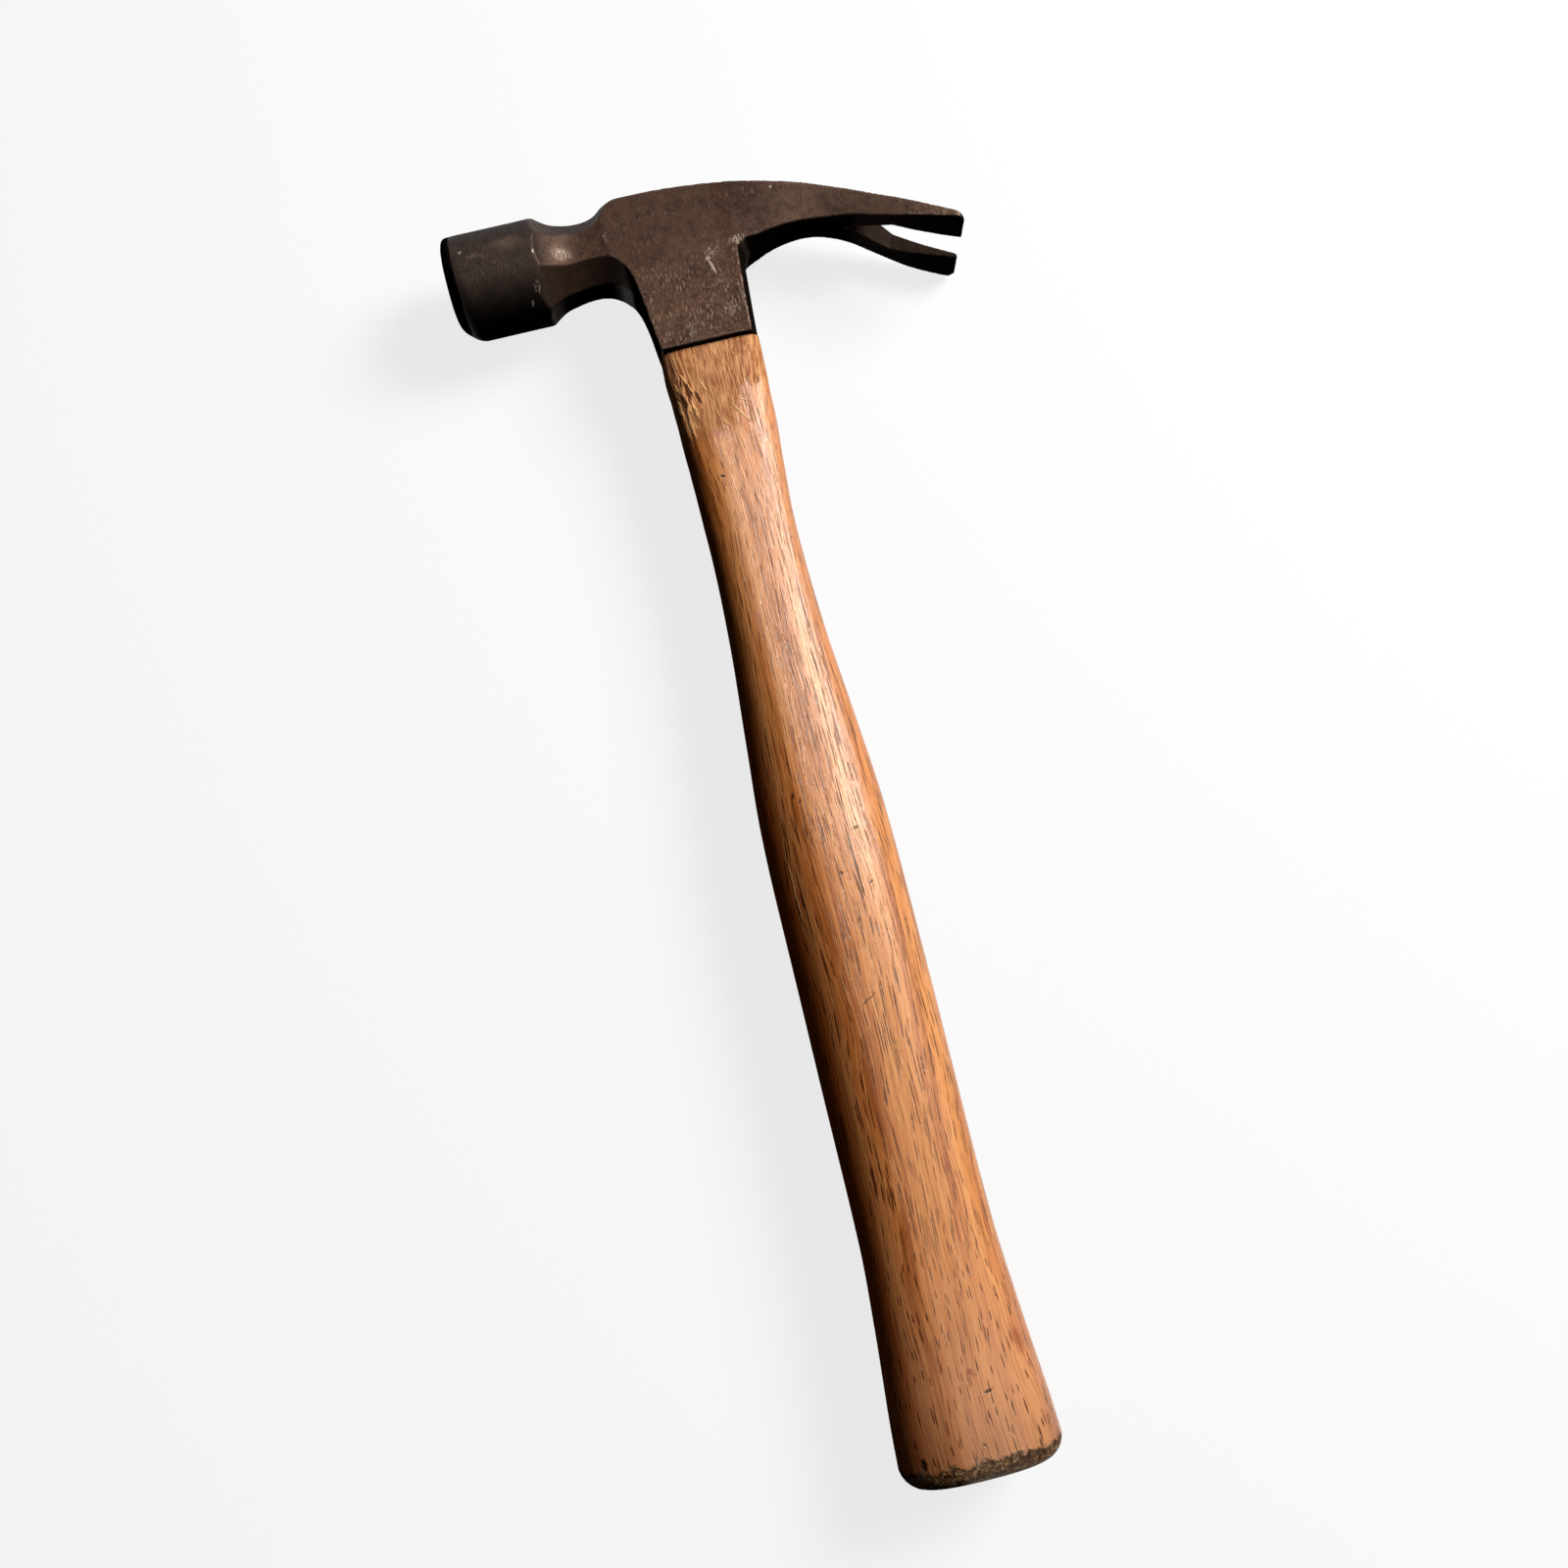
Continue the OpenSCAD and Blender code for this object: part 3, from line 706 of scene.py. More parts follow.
@dataclass(frozen=True)
class Hickory:
    """Worn satin hickory with open pores, rough near the head and grimy at the butt.

    Fields that end in _y are heights in millimetres in the shared frame between which something
    sets in, and those that end in _x are places across the handle, from its axis.
    """

    light: tuple = tint(243, 164, 98)
    mid: tuple = tint(216, 131, 66)
    dark: tuple = tint(156, 82, 36)
    painted_shade_umber: tuple = tint(98, 42, 8)
    shade_edge_orange: tuple = tint(176, 84, 30)
    flake: tuple = tint(252, 188, 124)
    pore: tuple = tint(82, 38, 16)
    hair_light: tuple = tint(246, 181, 124)
    hair_dark: tuple = tint(140, 76, 44)
    pit: tuple = tint(36, 17, 8)
    pink: tuple = tint(226, 160, 118)
    grime: tuple = tint(82, 52, 28)
    tan: tuple = tint(122, 90, 60)
    sand: tuple = tint(206, 172, 132)
    red: tuple = tint(150, 70, 44)
    warm: tuple = (1.0, 0.93, 0.84, 1.0)
    radius: float = 15.0
    wander: float = 12.0
    relief: float = 0.18
    drift: Grain = Grain((0.04, 0.011, 0.04), 2)
    bands: Grain = Grain((0.2, 0.006, 1))
    streaks: Grain = Grain((0.8, 0.018, 1), 4, 0.6, shift=(3, 1, 2))
    threads: Grain = Grain((1.9, 0.045, 1), 4, 0.7, shift=(8, 2, 5))
    rag: Grain = Grain((0.42, 0.07, 1), 5, 0.7)
    hairs: Grain = Grain((1.7, 0.2, 1), 5, 0.72, 0.2, (2, 8, 5))
    flakes: Grain = Grain((0.95, 0.17, 1), 4, 0.65, 0.3, (5, 5, 5))
    scoring: Grain = Grain((0.3, 2.6, 0.3), 2, 0.5, 2.0, (5, 5, 9))
    thinning: Grain = even(0.5)
    end_rag: Grain = even(0.3, 6, 0.7)
    grit: Grain = even(1.0, 6, 0.7)
    crust: Grain = even(0.35, 3, 0.6)
    long_pores: tuple = (Strokes(1.15, 30, 0.2), Strokes(1.4, 20, 0.16, (5, 3, 0)))
    short_pores: tuple = (Strokes(1.15, 19, 0.13, (2, 7, 0)), Strokes(1.5, 13, 0.11, (9, 1, 0)))
    pink_y: tuple = (-110, -160)
    painted_shade_umber_y: tuple = (-60, -150)
    shade_edge_y: tuple = (-100, -165)
    grip_y: tuple = ((86, 60), (-128, -104))
    mouth_y: tuple = (100, 104)
    tenon_y: tuple = (124.3, 126)
    grime_y: tuple = (-150, -172)
    crust_y: tuple = (-167.4, -168.6)
    rind_y: tuple = (-169.6, -168.8)
    shady_x: tuple = (0, -13.5)
    shade_edge_x: tuple = (-11, -15)
    mouth_x: tuple = (2.25, 8.25)
    dim_x: tuple = (9, 14)
    spots: tuple = placed((-6.7, -125.4, 12.5, 1.4, 0.5, 80), (-5.2, -127.2, 12.5, 1.0, 0.4, 70),
                          (7.0, -137.1, 12.0, 0.75, 0.6), (0.7, -147.6, 12.5, 0.6, 0.45),
                          (7.5, -151.4, 12.0, 0.7, 0.3, 30), (-4.2, -37.3, 9.5, 1.0, 0.5, -20),
                          (-14.6, -290.1, 11.0, 1.7, 0.8, 80), (-0.3, -292.5, 14.0, 0.7, 0.4),
                          (0.6, -288.4, 14.0, 0.6, 0.5), (4.6, -276.8, 14.5, 1.5, 0.5, 15),
                          (-0.4, -179.9, 12.6, 2.9, 0.22, 30), (-14.4, -290.4, 12.0, 1.5, 0.75, 80))
    cracks: tuple = placed((4.7, -144.8, 12.6, 10.8, 0.26, -88.4), (-10.3, -153.0, 11.0, 11.5, 0.2, -88))
    splinters: tuple = placed((4.7, -21.2, 9.0, 4.2, 0.34, -57), (5.5, -17.3, 9.0, 1.6, 0.28, -35),
                              (0.0, -22.5, 9.0, 2.5, 0.26, -62), (-11.8, -148.0, 10.4, 14.0, 0.16, -89.5),
                              (-9.0, -20.7, 7.6, 4.6, 0.62, -86), (-10.8, -16.2, 6.6, 3.2, 0.6, -83),
                              (-7.0, -17.7, 8.0, 3.2, 0.55, -79), (-3.6, -11.0, 8.6, 2.7, 0.4, -75),
                              (-8.4, -8.3, 7.4, 2.3, 0.5, -62), (-10.5, -10.6, 6.4, 2.1, 0.5, -76),
                              (-7.0, -11.5, 8.0, 1.8, 0.36, -78), (-9.6, -3.2, 7.0, 4.4, 0.36, -81))
    gouges: tuple = placed((-7.9, -12.0, 7.8, 3.3, 0.85, -83), (-5.7, -14.3, 8.2, 2.5, 0.6, -77),
                           (-9.5, -14.4, 7.0, 2.8, 0.75, -78), (-9.3, -8.9, 7.0, 2.9, 0.42, 83))
    torn: tuple = placed((-8.4, -13.2, 7.4, 7.0, 3.0, -84))
    stains: tuple = placed((1.5, -271.7, 14.5, 2.0, 1.2, -60), (15.1, -267.3, 10.4, 6.0, 2.4, -80),
                           (-2.0, -25.5, 9.0, 3.0, 2.4, 0))

    def read(self, g: Graph) -> Fibres:
        """Lays the surface out along the grain.

        Args:
            g: the graph.

        Returns:
            What the coats are drawn with.
        """
        spot = g.place()
        x, along, z = g.split(spot)
        side = g.math("ADD", x, PLACE.origin[0])
        turn = g.math("ARCTAN2", side, g.math("ADD", z, PLACE.origin[2]))
        wander = g.times(g.math("SUBTRACT", g.noise(spot, self.drift), 0.5), self.wander)
        unrolled = g.join(g.raised(wander, turn, self.radius), along, 0.0)
        noises = [g.noise(unrolled, grain) for grain in (self.streaks, self.threads, self.rag)]
        shady, grit = g.span(side, *self.shady_x), g.noise(spot, self.grit)
        return Fibres(spot, side, along, unrolled, shady, *noises, grit)

    def clean(self, g: Graph, wood: Fibres) -> Socket:
        """Colours clean wood in bands, streaks and threads, with painted shade, browner, on the shady side
        and lighter and oranger at its far edge near the butt.

        Args:
            g: the graph.
            wood: the surface as the finish reads it.

        Returns:
            The colour.
        """
        bands = g.span(g.noise(wood.unrolled, self.bands), 0.28, 0.72)
        # Painted shade: the -X side browner, less so towards the butt.
        shade = g.times(wood.shady, g.span(wood.along, *self.painted_shade_umber_y, 0.72, 0.42))
        # The painted shade's far -X edge near the butt, lighter and oranger.
        rim = g.times(g.span(wood.side, *self.shade_edge_x), g.span(wood.along, *self.shade_edge_y, 0.85, 0.5))
        return g.coats(g.ramp(bands, ((0.0, self.dark), (0.4, self.mid), (1.0, self.light))),
                       (g.span(wood.streaks, 0.46, 0.72, 0, 0.4), self.dark),
                       (g.span(wood.threads, 0.51, 0.62, 0, 0.8), self.light),
                       (g.span(wood.threads, 0.47, 0.36, 0, 0.8), self.dark),
                       (g.span(wood.along, *self.pink_y, 0, 0.45), self.pink),
                       # Painted shade on the -X side, lighter and oranger at its far edge near the butt.
                       (shade, self.painted_shade_umber), (rim, self.shade_edge_orange))

    def pored(self, g: Graph, wood: Fibres) -> Zone:
        """Opens the pores, long in the grip and short towards both ends, and lays the red stains.

        Args:
            g: the graph.
            wood: the surface as the finish reads it.

        Returns:
            The zone.
        """
        grip = g.times(*(g.span(wood.along, *ends) for ends in self.grip_y))
        long = g.times(g.dashes(wood.unrolled, *self.long_pores), g.span(wood.streaks, 0.4, 0.54, 0.45, 1),
                       g.span(grip, 0, 1, 0.25, 1))
        short = g.times(g.dashes(wood.unrolled, *self.short_pores), g.span(grip, 0, 1, 1, 0.4))
        pores = g.times(g.most(long, short), g.span(g.noise(wood.spot, self.thinning), 0.3, 0.5, 0.5, 1))
        stained = g.marked(g.ragged(wood.spot, 0.4, 1.2), self.stains, 0.2)
        coats = ((g.times(pores, 0.95), self.pore),
                 (g.times(stained, g.span(wood.streaks, 0.3, 0.6, 0.45, 0.85)), self.red))
        return Zone(pores, coats, ((pores, -0.8),))

    def mouth(self, g: Graph, wood: Fibres) -> Zone:
        """Roughs up the wood below the socket, where strokes that miss have rubbed and torn it.

        Args:
            g: the graph.
            wood: the surface as the finish reads it.

        Returns:
            The zone.
        """
        reach = g.raised(g.span(wood.side, *self.mouth_x, -2, 9), g.math("SUBTRACT", wood.rag, 0.5), 30)
        torn = g.marked(g.ragged(wood.spot, 0.5, 1.5), self.torn)
        rubbed = g.most(g.span(g.math("SUBTRACT", wood.along, reach), *self.mouth_y), torn)
        hairs, flakes = (g.noise(wood.unrolled, grain) for grain in (self.hairs, self.flakes))
        fuzz = g.blend(g.span(hairs, 0.4, 0.62), self.hair_dark, self.hair_light)
        coats = ((g.times(rubbed, g.span(torn, 0, 1, 0.75, 0.95)), fuzz),
                 (g.times(torn, g.span(flakes, 0.5, 0.56, 0, 0.9)), self.hair_light),
                 (g.times(torn, g.span(flakes, 0.46, 0.4, 0, 0.9)), self.pore))
        return Zone(rubbed, coats, ((hairs, rubbed), (g.times(flakes, torn), 5.0)))

    def damage(self, g: Graph, wood: Fibres) -> Zone:
        """Draws the single dents, cracks, gouges and splinters, and faint scoring over the grain.

        Args:
            g: the graph.
            wood: the surface as the finish reads it.

        Returns:
            The zone.
        """
        dents = g.most(g.marked(g.ragged(wood.spot, 1.5, 0.35), self.spots),
                       g.marked(wood.spot, self.cracks, 0.7))
        drawn = g.ragged(wood.spot, 0.6, 0.5)
        gouges, splinters = g.marked(drawn, self.gouges, 0.5), g.marked(drawn, self.splinters, 0.6)
        scoring = g.times(g.span(g.noise(wood.spot, self.scoring), 0.7, 0.74), g.span(wood.rag, 0.5, 0.6))
        coats = ((g.times(dents, 0.95), self.pit), (g.times(gouges, 0.9), self.pore),
                 (g.times(splinters, 0.9), self.flake), (g.times(scoring, 0.35), self.pore))
        return Zone(dents, coats, ((dents, -1.0), (gouges, -2.0), (splinters, 2.0)))

    def butt(self, g: Graph, wood: Fibres) -> Zone:
        """Crusts the worn rim of the butt with dirt.

        Args:
            g: the graph.
            wood: the surface as the finish reads it.

        Returns:
            The zone.
        """
        height = g.raised(wood.along, g.math("SUBTRACT", g.noise(wood.spot, self.end_rag), 0.5), 9)
        end = g.span(height, *self.crust_y)
        dirt = g.blend(g.span(g.noise(wood.spot, self.crust), 0.42, 0.58), self.grime, self.tan)
        crust = g.coats(dirt, (g.span(wood.grit, 0.53, 0.62, 0, 0.9), self.sand),
                        (g.span(wood.grit, 0.45, 0.36, 0, 0.8), self.pit))
        coats = ((g.span(height, *self.grime_y, 0, 0.3), self.grime), (end, crust),
                 (g.times(end, g.span(height, *self.rind_y), 0.6), self.pit))
        return Zone(end, coats, ((g.times(wood.grit, end), 1.2),))

    def tenon(self, g: Graph, wood: Fibres) -> Zone:
        """Darkens the tenon in the eye, whose end grain has soaked up oil.

        Args:
            g: the graph.
            wood: the surface as the finish reads it.

        Returns:
            The zone.
        """
        soaked = g.blend(g.span(wood.grit, 0.35, 0.65), self.pore, self.grime)
        inside = g.span(wood.along, *self.tenon_y)
        return Zone(inside, ((inside, soaked),))

    def material(self) -> Material:
        """Builds the node material.

        Returns:
            The material.
        """
        g = Graph.named("hickory")
        wood = self.read(g)
        zones = [draw(g, wood) for draw in (self.pored, self.mouth, self.damage, self.butt, self.tenon)]
        _, mouth, _, butt, tenon = zones
        colour = g.coats(self.clean(g, wood), *(coat for zone in zones for coat in zone.coats))
        height = g.total((wood.threads, 0.8), *(part for zone in zones for part in zone.relief))
        worn = g.most(mouth.outline, butt.outline, tenon.outline)
        rough = g.raised(g.span(wood.streaks, 0.3, 0.7, 0.27, 0.37), worn, 0.3)
        gloss = g.times(g.span(wood.shady, 0, 0.5, 0.9, 0), g.span(worn, 0, 1, 1, 0.3),
                        g.span(wood.side, *self.dim_x, 1, 0.35))
        return g.surface({"Base Color": colour, "Roughness": rough, "Specular IOR Level": gloss,
                          "Specular Tint": self.warm, "Normal": g.bump(height, self.relief)})


@dataclass(frozen=True)
class WedgeWood:
    """Sawn wood of the wooden wedge, darkened by oil and dirt."""

    pale: tuple = tint(150, 116, 78)
    dark: tuple = tint(78, 54, 36)
    saw: Grain = Grain((0.7, 0.3, 3.5), 5, 0.65)
    relief: float = 0.12

    def material(self) -> Material:
        """Builds the node material.

        Returns:
            The material.
        """
        g = Graph.named("wedge_wood")
        saw = g.noise(g.place(), self.saw)
        colour = g.blend(g.span(saw, 0.35, 0.65), self.dark, self.pale)
        return g.surface({"Base Color": colour, "Roughness": 0.72, "Specular IOR Level": 0.3,
                          "Normal": g.bump(saw, self.relief)})


@dataclass(frozen=True)
class WedgeSteel:
    """Hammered steel of the small wedges."""

    bright: tuple = tint(128, 122, 116)
    dull: tuple = tint(66, 56, 48)
    dents: Grain = even(0.9, 4, 0.6)
    relief: float = 0.15

    def material(self) -> Material:
        """Builds the node material.

        Returns:
            The material.
        """
        g = Graph.named("wedge_steel")
        dents = g.noise(g.place(), self.dents)
        colour = g.blend(g.span(dents, 0.4, 0.62), self.dull, self.bright)
        rough = g.span(dents, 0.3, 0.7, 0.38, 0.62)
        return g.surface({"Base Color": colour, "Metallic": 0.8, "Roughness": rough,
                          "Normal": g.bump(dents, self.relief)})


@dataclass(frozen=True)
class Eye:
    """The tapered hole through the head, and with a gap the tenon that fills it."""

    length: float = 20.6
    width: float = 17.0
    shift: float = 1.1
    waist: float = 0.7
    flare: float = 0.5
    gap: float = 0.1
    height: float = 45.6
    power: float = 4.0

    def inset(self, y: Array) -> Array:
        """Returns how far the eye's wall stands in at a height."""
        return curve([(0, 0), (self.height * 0.42, self.waist), (self.height, -self.flare)], y)

    def field(self, x: Array, y: Array, z: Array) -> Array:
        """Field of the eye.

        Args:
            x, y, z: places in millimetres.

        Returns:
            Negative values inside the eye.
        """
        inset = self.inset(y)
        half_x = self.length / 2 - inset
        half_z = self.width / 2 - inset
        ring = (np.abs((x - self.shift) / half_x)**self.power + np.abs(z / half_z)**self.power)
        return (ring**(1 / self.power) - 1) * np.minimum(half_x, half_z)


@dataclass(frozen=True)
class NailSlot:
    """The slot between the claws, countersunk on the handle's side."""

    length: float = 28.5
    tip_width: float = 11.4
    belly_width: float = 13.6
    root_width: float = 1.4
    sink: float = 5.0
    belly_share: float = 0.43
    tip_ease: float = 0.6
    belly_r: float = 1.2

    def half_width(self, along: Array, share: Array) -> Array:
        """Returns the slot's half width.

        Args:
            along: distance from the countersink's closed end.
            share: 0 on the far side of the claws and 1 on the handle's side.

        Returns:
            Half widths, negative past the closed end.
        """
        start = self.sink * (1 - share)
        belly = self.length * self.belly_share
        rise = (self.belly_width - self.root_width) / 2 / (belly - start)
        fall = (self.belly_width - self.tip_width) / 2 / (self.length - belly)
        opening = self.root_width / 2 + (along - start) * rise
        closing = self.belly_width / 2 - (along - belly) * fall
        closing = np.maximum(closing, self.tip_width / 2 - self.tip_ease)
        return -both(-opening, -closing, self.belly_r)


@dataclass(frozen=True)
class Nick:
    """A small dent: its middle, its radius and how deep it cuts."""

    x: float
    y: float
    z: float
    radius: float
    depth: float


@dataclass(frozen=True)
class Flank:
    """The hollow between poll and socket along one pair of the neck's facets.

    Its line runs from the poll over the neck and down the socket's front, as places along
    the head and distances from the poll's axis.
    """

    knots: Knots
    low: tuple = (-54.0, 4.0)
    high: tuple = (-6.0, 52.0)
    far: float = 99.0
    pitch: float = 0.2
    fineness: int = 10

    @cached_property
    def table(self) -> Array:
        """Signed distances to the line on a grid, positive inside the hollow."""
        along = np.linspace(0, len(self.knots) - 1, (len(self.knots) - 1) * self.fineness + 1)
        line = np.stack([curve(list(enumerate(part)), along) for part in zip(*self.knots)], 1)
        axes = [np.arange(a, b + self.pitch / 2, self.pitch) for a, b in zip(self.low, self.high)]
        spot = np.stack(np.meshgrid(*axes, indexing="ij"), -1)
        nearest = np.full(spot.shape[:2], np.inf)
        for start, end in zip(line[:-1], line[1:]):
            step = end - start
            share = np.clip(((spot - start) @ step) / (step @ step), 0, 1)
            away = np.hypot(*np.moveaxis(spot - start - share[..., None] * step, -1, 0))
            nearest = np.minimum(nearest, away)
        fence = np.concatenate([line, [(line[-1, 0], self.far), (line[0, 0], self.far)]])
        inside = np.zeros(nearest.shape, bool)
        for start, end in zip(fence, np.roll(fence, -1, 0)):
            spans = (start[1] > spot[..., 1]) != (end[1] > spot[..., 1])
            rise = end[1] - start[1] if end[1] != start[1] else 1.0
            reach = start[0] + (spot[..., 1] - start[1]) * (end[0] - start[0]) / rise
            inside ^= spans & (spot[..., 0] < reach)
        return np.where(inside, nearest, -nearest)

    def field(self, x: Array, d: Array) -> Array:
        """Reads the table.

        Args:
            x: places along the head.
            d: distances from the poll's axis, square to the facet.

        Returns:
            Positive inside the hollow.
        """
        x, d = np.broadcast_arrays(x, d)
        last = np.array(self.table.shape) - 2
        u = np.clip((x - self.low[0]) / self.pitch, 0, last[0] + 0.999)
        v = np.clip((d - self.low[1]) / self.pitch, 0, last[1] + 0.999)
        i, j = u.astype(int), v.astype(int)
        u, v = u - i, v - j
        near = self.table[i, j] * (1 - v) + self.table[i, j + 1] * v
        far = self.table[i + 1, j] * (1 - v) + self.table[i + 1, j + 1] * v
        return near * (1 - u) + far * u


POLL_SIDE: Knots = ((-50.5, 26.5), (-46.8, 22.4), (-43.2, 18.5), (-41.0, 16.2), (-39.3, 14.5),
                    (-37.4, 12.9), (-34.6, 11.2))


@dataclass
class Head:
    """The forged head: poll, eight-sided neck, cheeks, socket and split claws."""

    poll_r: float = 14.5
    face_reach: float = PLACE.face_reach
    poll_height: float = 35.0
    rim: float = 3.0
    rim_tilt: float = 0.15
    crown: float = 0.4
    waist_x: float = -28.0
    cheek_z: float = 11.2
    nose_reach: float = 16.3
    nose_lean: float = 1.6
    nose_draft: float = 10.0
    root_r: float = 3.6
    claw_start: float = 2.0
    claw_reach: float = PLACE.claw_reach
    claw_t: float = 14.5
    waist_z: float = 8.6
    tip_z: float = PLACE.half_height
    tip_r: float = 3.6
    rim_r: float = 1.3
    face_r: float = 1.6
    edge_r: float = 0.45
    cut_r: float = 0.4
    mouth_r: float = 0.25
    facet_r: float = 0.25
    rear_slope: float = 0.9
    side_slope: float = 0.96
    top_slope: float = 0.93
    slot_slope: float = 0.88
    cell: float = 0.5
    margin: float = 1.2
    bend_reach: float = 0.6
    nick_seed: int = 11
    rim_nicks: int = 22
    claw_nicks: int = 12
    ridge_nicks: int = 10
    eye: Eye = field(default_factory=Eye)
    slot: NailSlot = field(default_factory=NailSlot)
    ripple: Ripple = Ripple(seed=5, waves=14, shortest=9.0, longest=30.0, height=0.035)
    sides_line: Flank = Flank((*POLL_SIDE, (-31.5, 10.1), (-28, 9.7), (-24.5, 9.8), (-21.5, 10.3),
                               (-19.2, 11.2), (-17.2, 12.6), (-15.6, 15), (-14.4, 19), (-13.4, 25),
                               (-11.0, 45)))
    upper_line: Flank = Flank((*POLL_SIDE, (-31.5, 10.15), (-28, 9.7), (-24.5, 9.95), (-21.4, 11.1),
                               (-19.2, 13.0), (-17.4, 14.3), (-15.2, 15.4), (-12, 16.6), (-7, 18.6),
                               (0, 22)))
    lower_line: Flank = Flank((*POLL_SIDE, (-31.5, 10.4), (-28, 9.8), (-24.5, 9.6), (-21.4, 10.0),
                               (-19.0, 11.1), (-17.4, 12.5), (-16.1, 14), (-15, 16.4), (-14.2, 19.4),
                               (-13.55, 23), (-12.9, 28.5), (-11.9, 36), (-10.9, 44)))
    lower_lean: Knots = ((-43, 0), (-39.3, 0.7), (-34.6, 0.2), (-28, 0.05), (-24.5, -0.15),
                         (-21.4, -0.45), (-19, -0.6), (-15, 0))
    top_line: Knots = ((-20, 45.75), (-11, 45.75), (-5.5, 45.65), (0, 45.3), (5, 44.85), (10.3, 44.3),
                       (15.7, 43.7), (21, 43.0), (26.2, 42.1), (33, 40.55), (39.8, 38.15),
                       (48.6, 33.55), (57.1, 28.0), (65.5, 21.95), (75, 15.9))
    under_line: Knots = ((16, 27.0), (20.3, 27.95), (23.5, 28.9), (27, 29.7), (31, 30.15), (35, 30.15),
                         (40, 29.35), (46.9, 27.3), (55, 23.2), (64, 18.9), (75, 14.5))
    draw_line: Knots = ((10, 0), (14.3, 0.25), (17, 1.2), (20, 2.2), (24, 2.8), (30, 3.0), (36, 2.9),
                        (42, 2.2), (48, 1.2), (54, 0.4), (60, 0))

    def claw_top(self, x: Array) -> Array:
        """Returns the height of the upper outline."""
        return curve(self.top_line, x)

    def claw_under(self, x: Array) -> Array:
        """Returns the height of the claws' lower outline."""
        return curve(self.under_line, x)

    def half_width(self, x: Array) -> Array:
        """Reads half the width of cheeks and claws along their upper edges.

        Args:
            x: places along the head.

        Returns:
            The half widths.
        """
        share = (x - self.claw_start) / (self.claw_reach - self.claw_start)
        knots = [(0.1, self.cheek_z), (0.19, mix(self.waist_z, self.cheek_z, 0.86)),
                 (0.3, mix(self.waist_z, self.cheek_z, 0.44)),
                 (0.41, mix(self.waist_z, self.cheek_z, 0.1)), (0.53, self.waist_z),
                 (0.69, mix(self.waist_z, self.tip_z, 0.27)),
                 (0.85, mix(self.waist_z, self.tip_z, 0.75)), (1, self.tip_z)]
        return curve(knots, share)

    def poll(self, x: Array, y: Array, z: Array) -> Array:
        """Field of the round poll with its crowned face and worn bevel.

        Args:
            x, y, z: places in millimetres.

        Returns:
            Negative values inside the poll.
        """
        out = np.hypot(y - self.poll_height, z)
        face = -self.face_reach - x + self.crown * (out / self.poll_r)**2
        leaning = -x - self.rim_tilt * (y - self.poll_height)
        bevel = (out - self.poll_r + leaning - self.face_reach + self.rim) / math.sqrt(2)
        side = both(out - self.poll_r, bevel, self.rim_r)
        return np.maximum(both(side, face, self.face_r), x - self.waist_x - 1)

    def neck(self, x: Array, y: Array, z: Array) -> Array:
        """Field of what lies inside the eight flanks.

        Args:
            x, y, z: places in millimetres.

        Returns:
            Negative values inside them.
        """
        up, out = y - self.poll_height, np.abs(z)
        level = both(self.sides_line.field(x, out), self.lower_line.field(x, np.abs(up)), self.facet_r)
        upper = self.upper_line.field(x, (up + out) / math.sqrt(2))
        lower = self.lower_line.field(x, (out - up) / math.sqrt(2) + curve(self.lower_lean, x))
        return both(level, both(upper, lower, self.facet_r), self.facet_r)

    def rear(self, x: Array, y: Array, z: Array) -> Array:
        """Field of what lies ahead of the drafted ridge or above the claws' lower outline.

        Args:
            x, y, z: places in millimetres.

        Returns:
            Negative values inside it.
        """
        drafted = x + np.sqrt(z**2 + 1) * math.tan(math.radians(self.nose_draft))
        root_y = float(self.claw_under(np.array(self.nose_reach + self.root_r))) - self.root_r
        nose = self.nose_reach - self.nose_lean * (1 - np.clip(y / root_y, -1, 1))
        return either(drafted - nose, (self.claw_under(x) - y) * self.rear_slope, self.root_r)

    def sides(self, x: Array, y: Array, z: Array) -> Array:
        """Field of what lies between the sides, which draw in towards the claws' lower edges.

        Args:
            x, y, z: places in millimetres.

        Returns:
            Negative values between them.
        """
        root_x = self.nose_reach + self.root_r
        top = self.claw_top(x)
        low = self.claw_under(np.maximum(x, root_x))
        share = np.clip((top - y) / (top - low), 0, 1.4)
        gate = np.maximum(smooth_step(14, 27, y), smooth_step(root_x, root_x + 4, x))
        half = self.half_width(x) - curve(self.draw_line, x) * share * gate
        return (np.abs(z) - half) * self.side_slope

    def body(self, x: Array, y: Array, z: Array) -> Array:
        """Field of cheeks, socket and claws, before the eye and the slot are cut.

        Args:
            x, y, z: places in millimetres.

        Returns:
            Negative values inside the body.
        """
        side = self.sides(x, y, z)
        top = (y - self.claw_top(x)) * self.top_slope
        shape = both(both(top, side, self.edge_r), -y, self.mouth_r)
        shape = both(shape, both(self.rear(x, y, z), side, self.edge_r), self.edge_r)
        corner = both(x - self.claw_reach, np.abs(z) - self.tip_z, self.tip_r)
        return np.maximum(both(shape, corner, self.cut_r), self.waist_x - x)

    def cut_slot(self, x: Array, y: Array, z: Array) -> Array:
        """Field of the nail slot.

        Args:
            x, y, z: places in millimetres.

        Returns:
            Negative values inside the slot.
        """
        start = self.claw_reach - self.slot.length
        root_y, tip_y = (float(self.claw_under(np.array(end))) for end in (start, self.claw_reach))
        lean = math.atan2(root_y - tip_y, self.slot.length)
        along = (x - start) * math.cos(lean) - (y - root_y) * math.sin(lean)
        up = (x - start) * math.sin(lean) + (y - root_y) * math.cos(lean)
        share = np.clip(1 - up / (self.claw_t / 2), 0, 2)
        return (np.abs(z) - self.slot.half_width(along, share)) * self.slot_slope

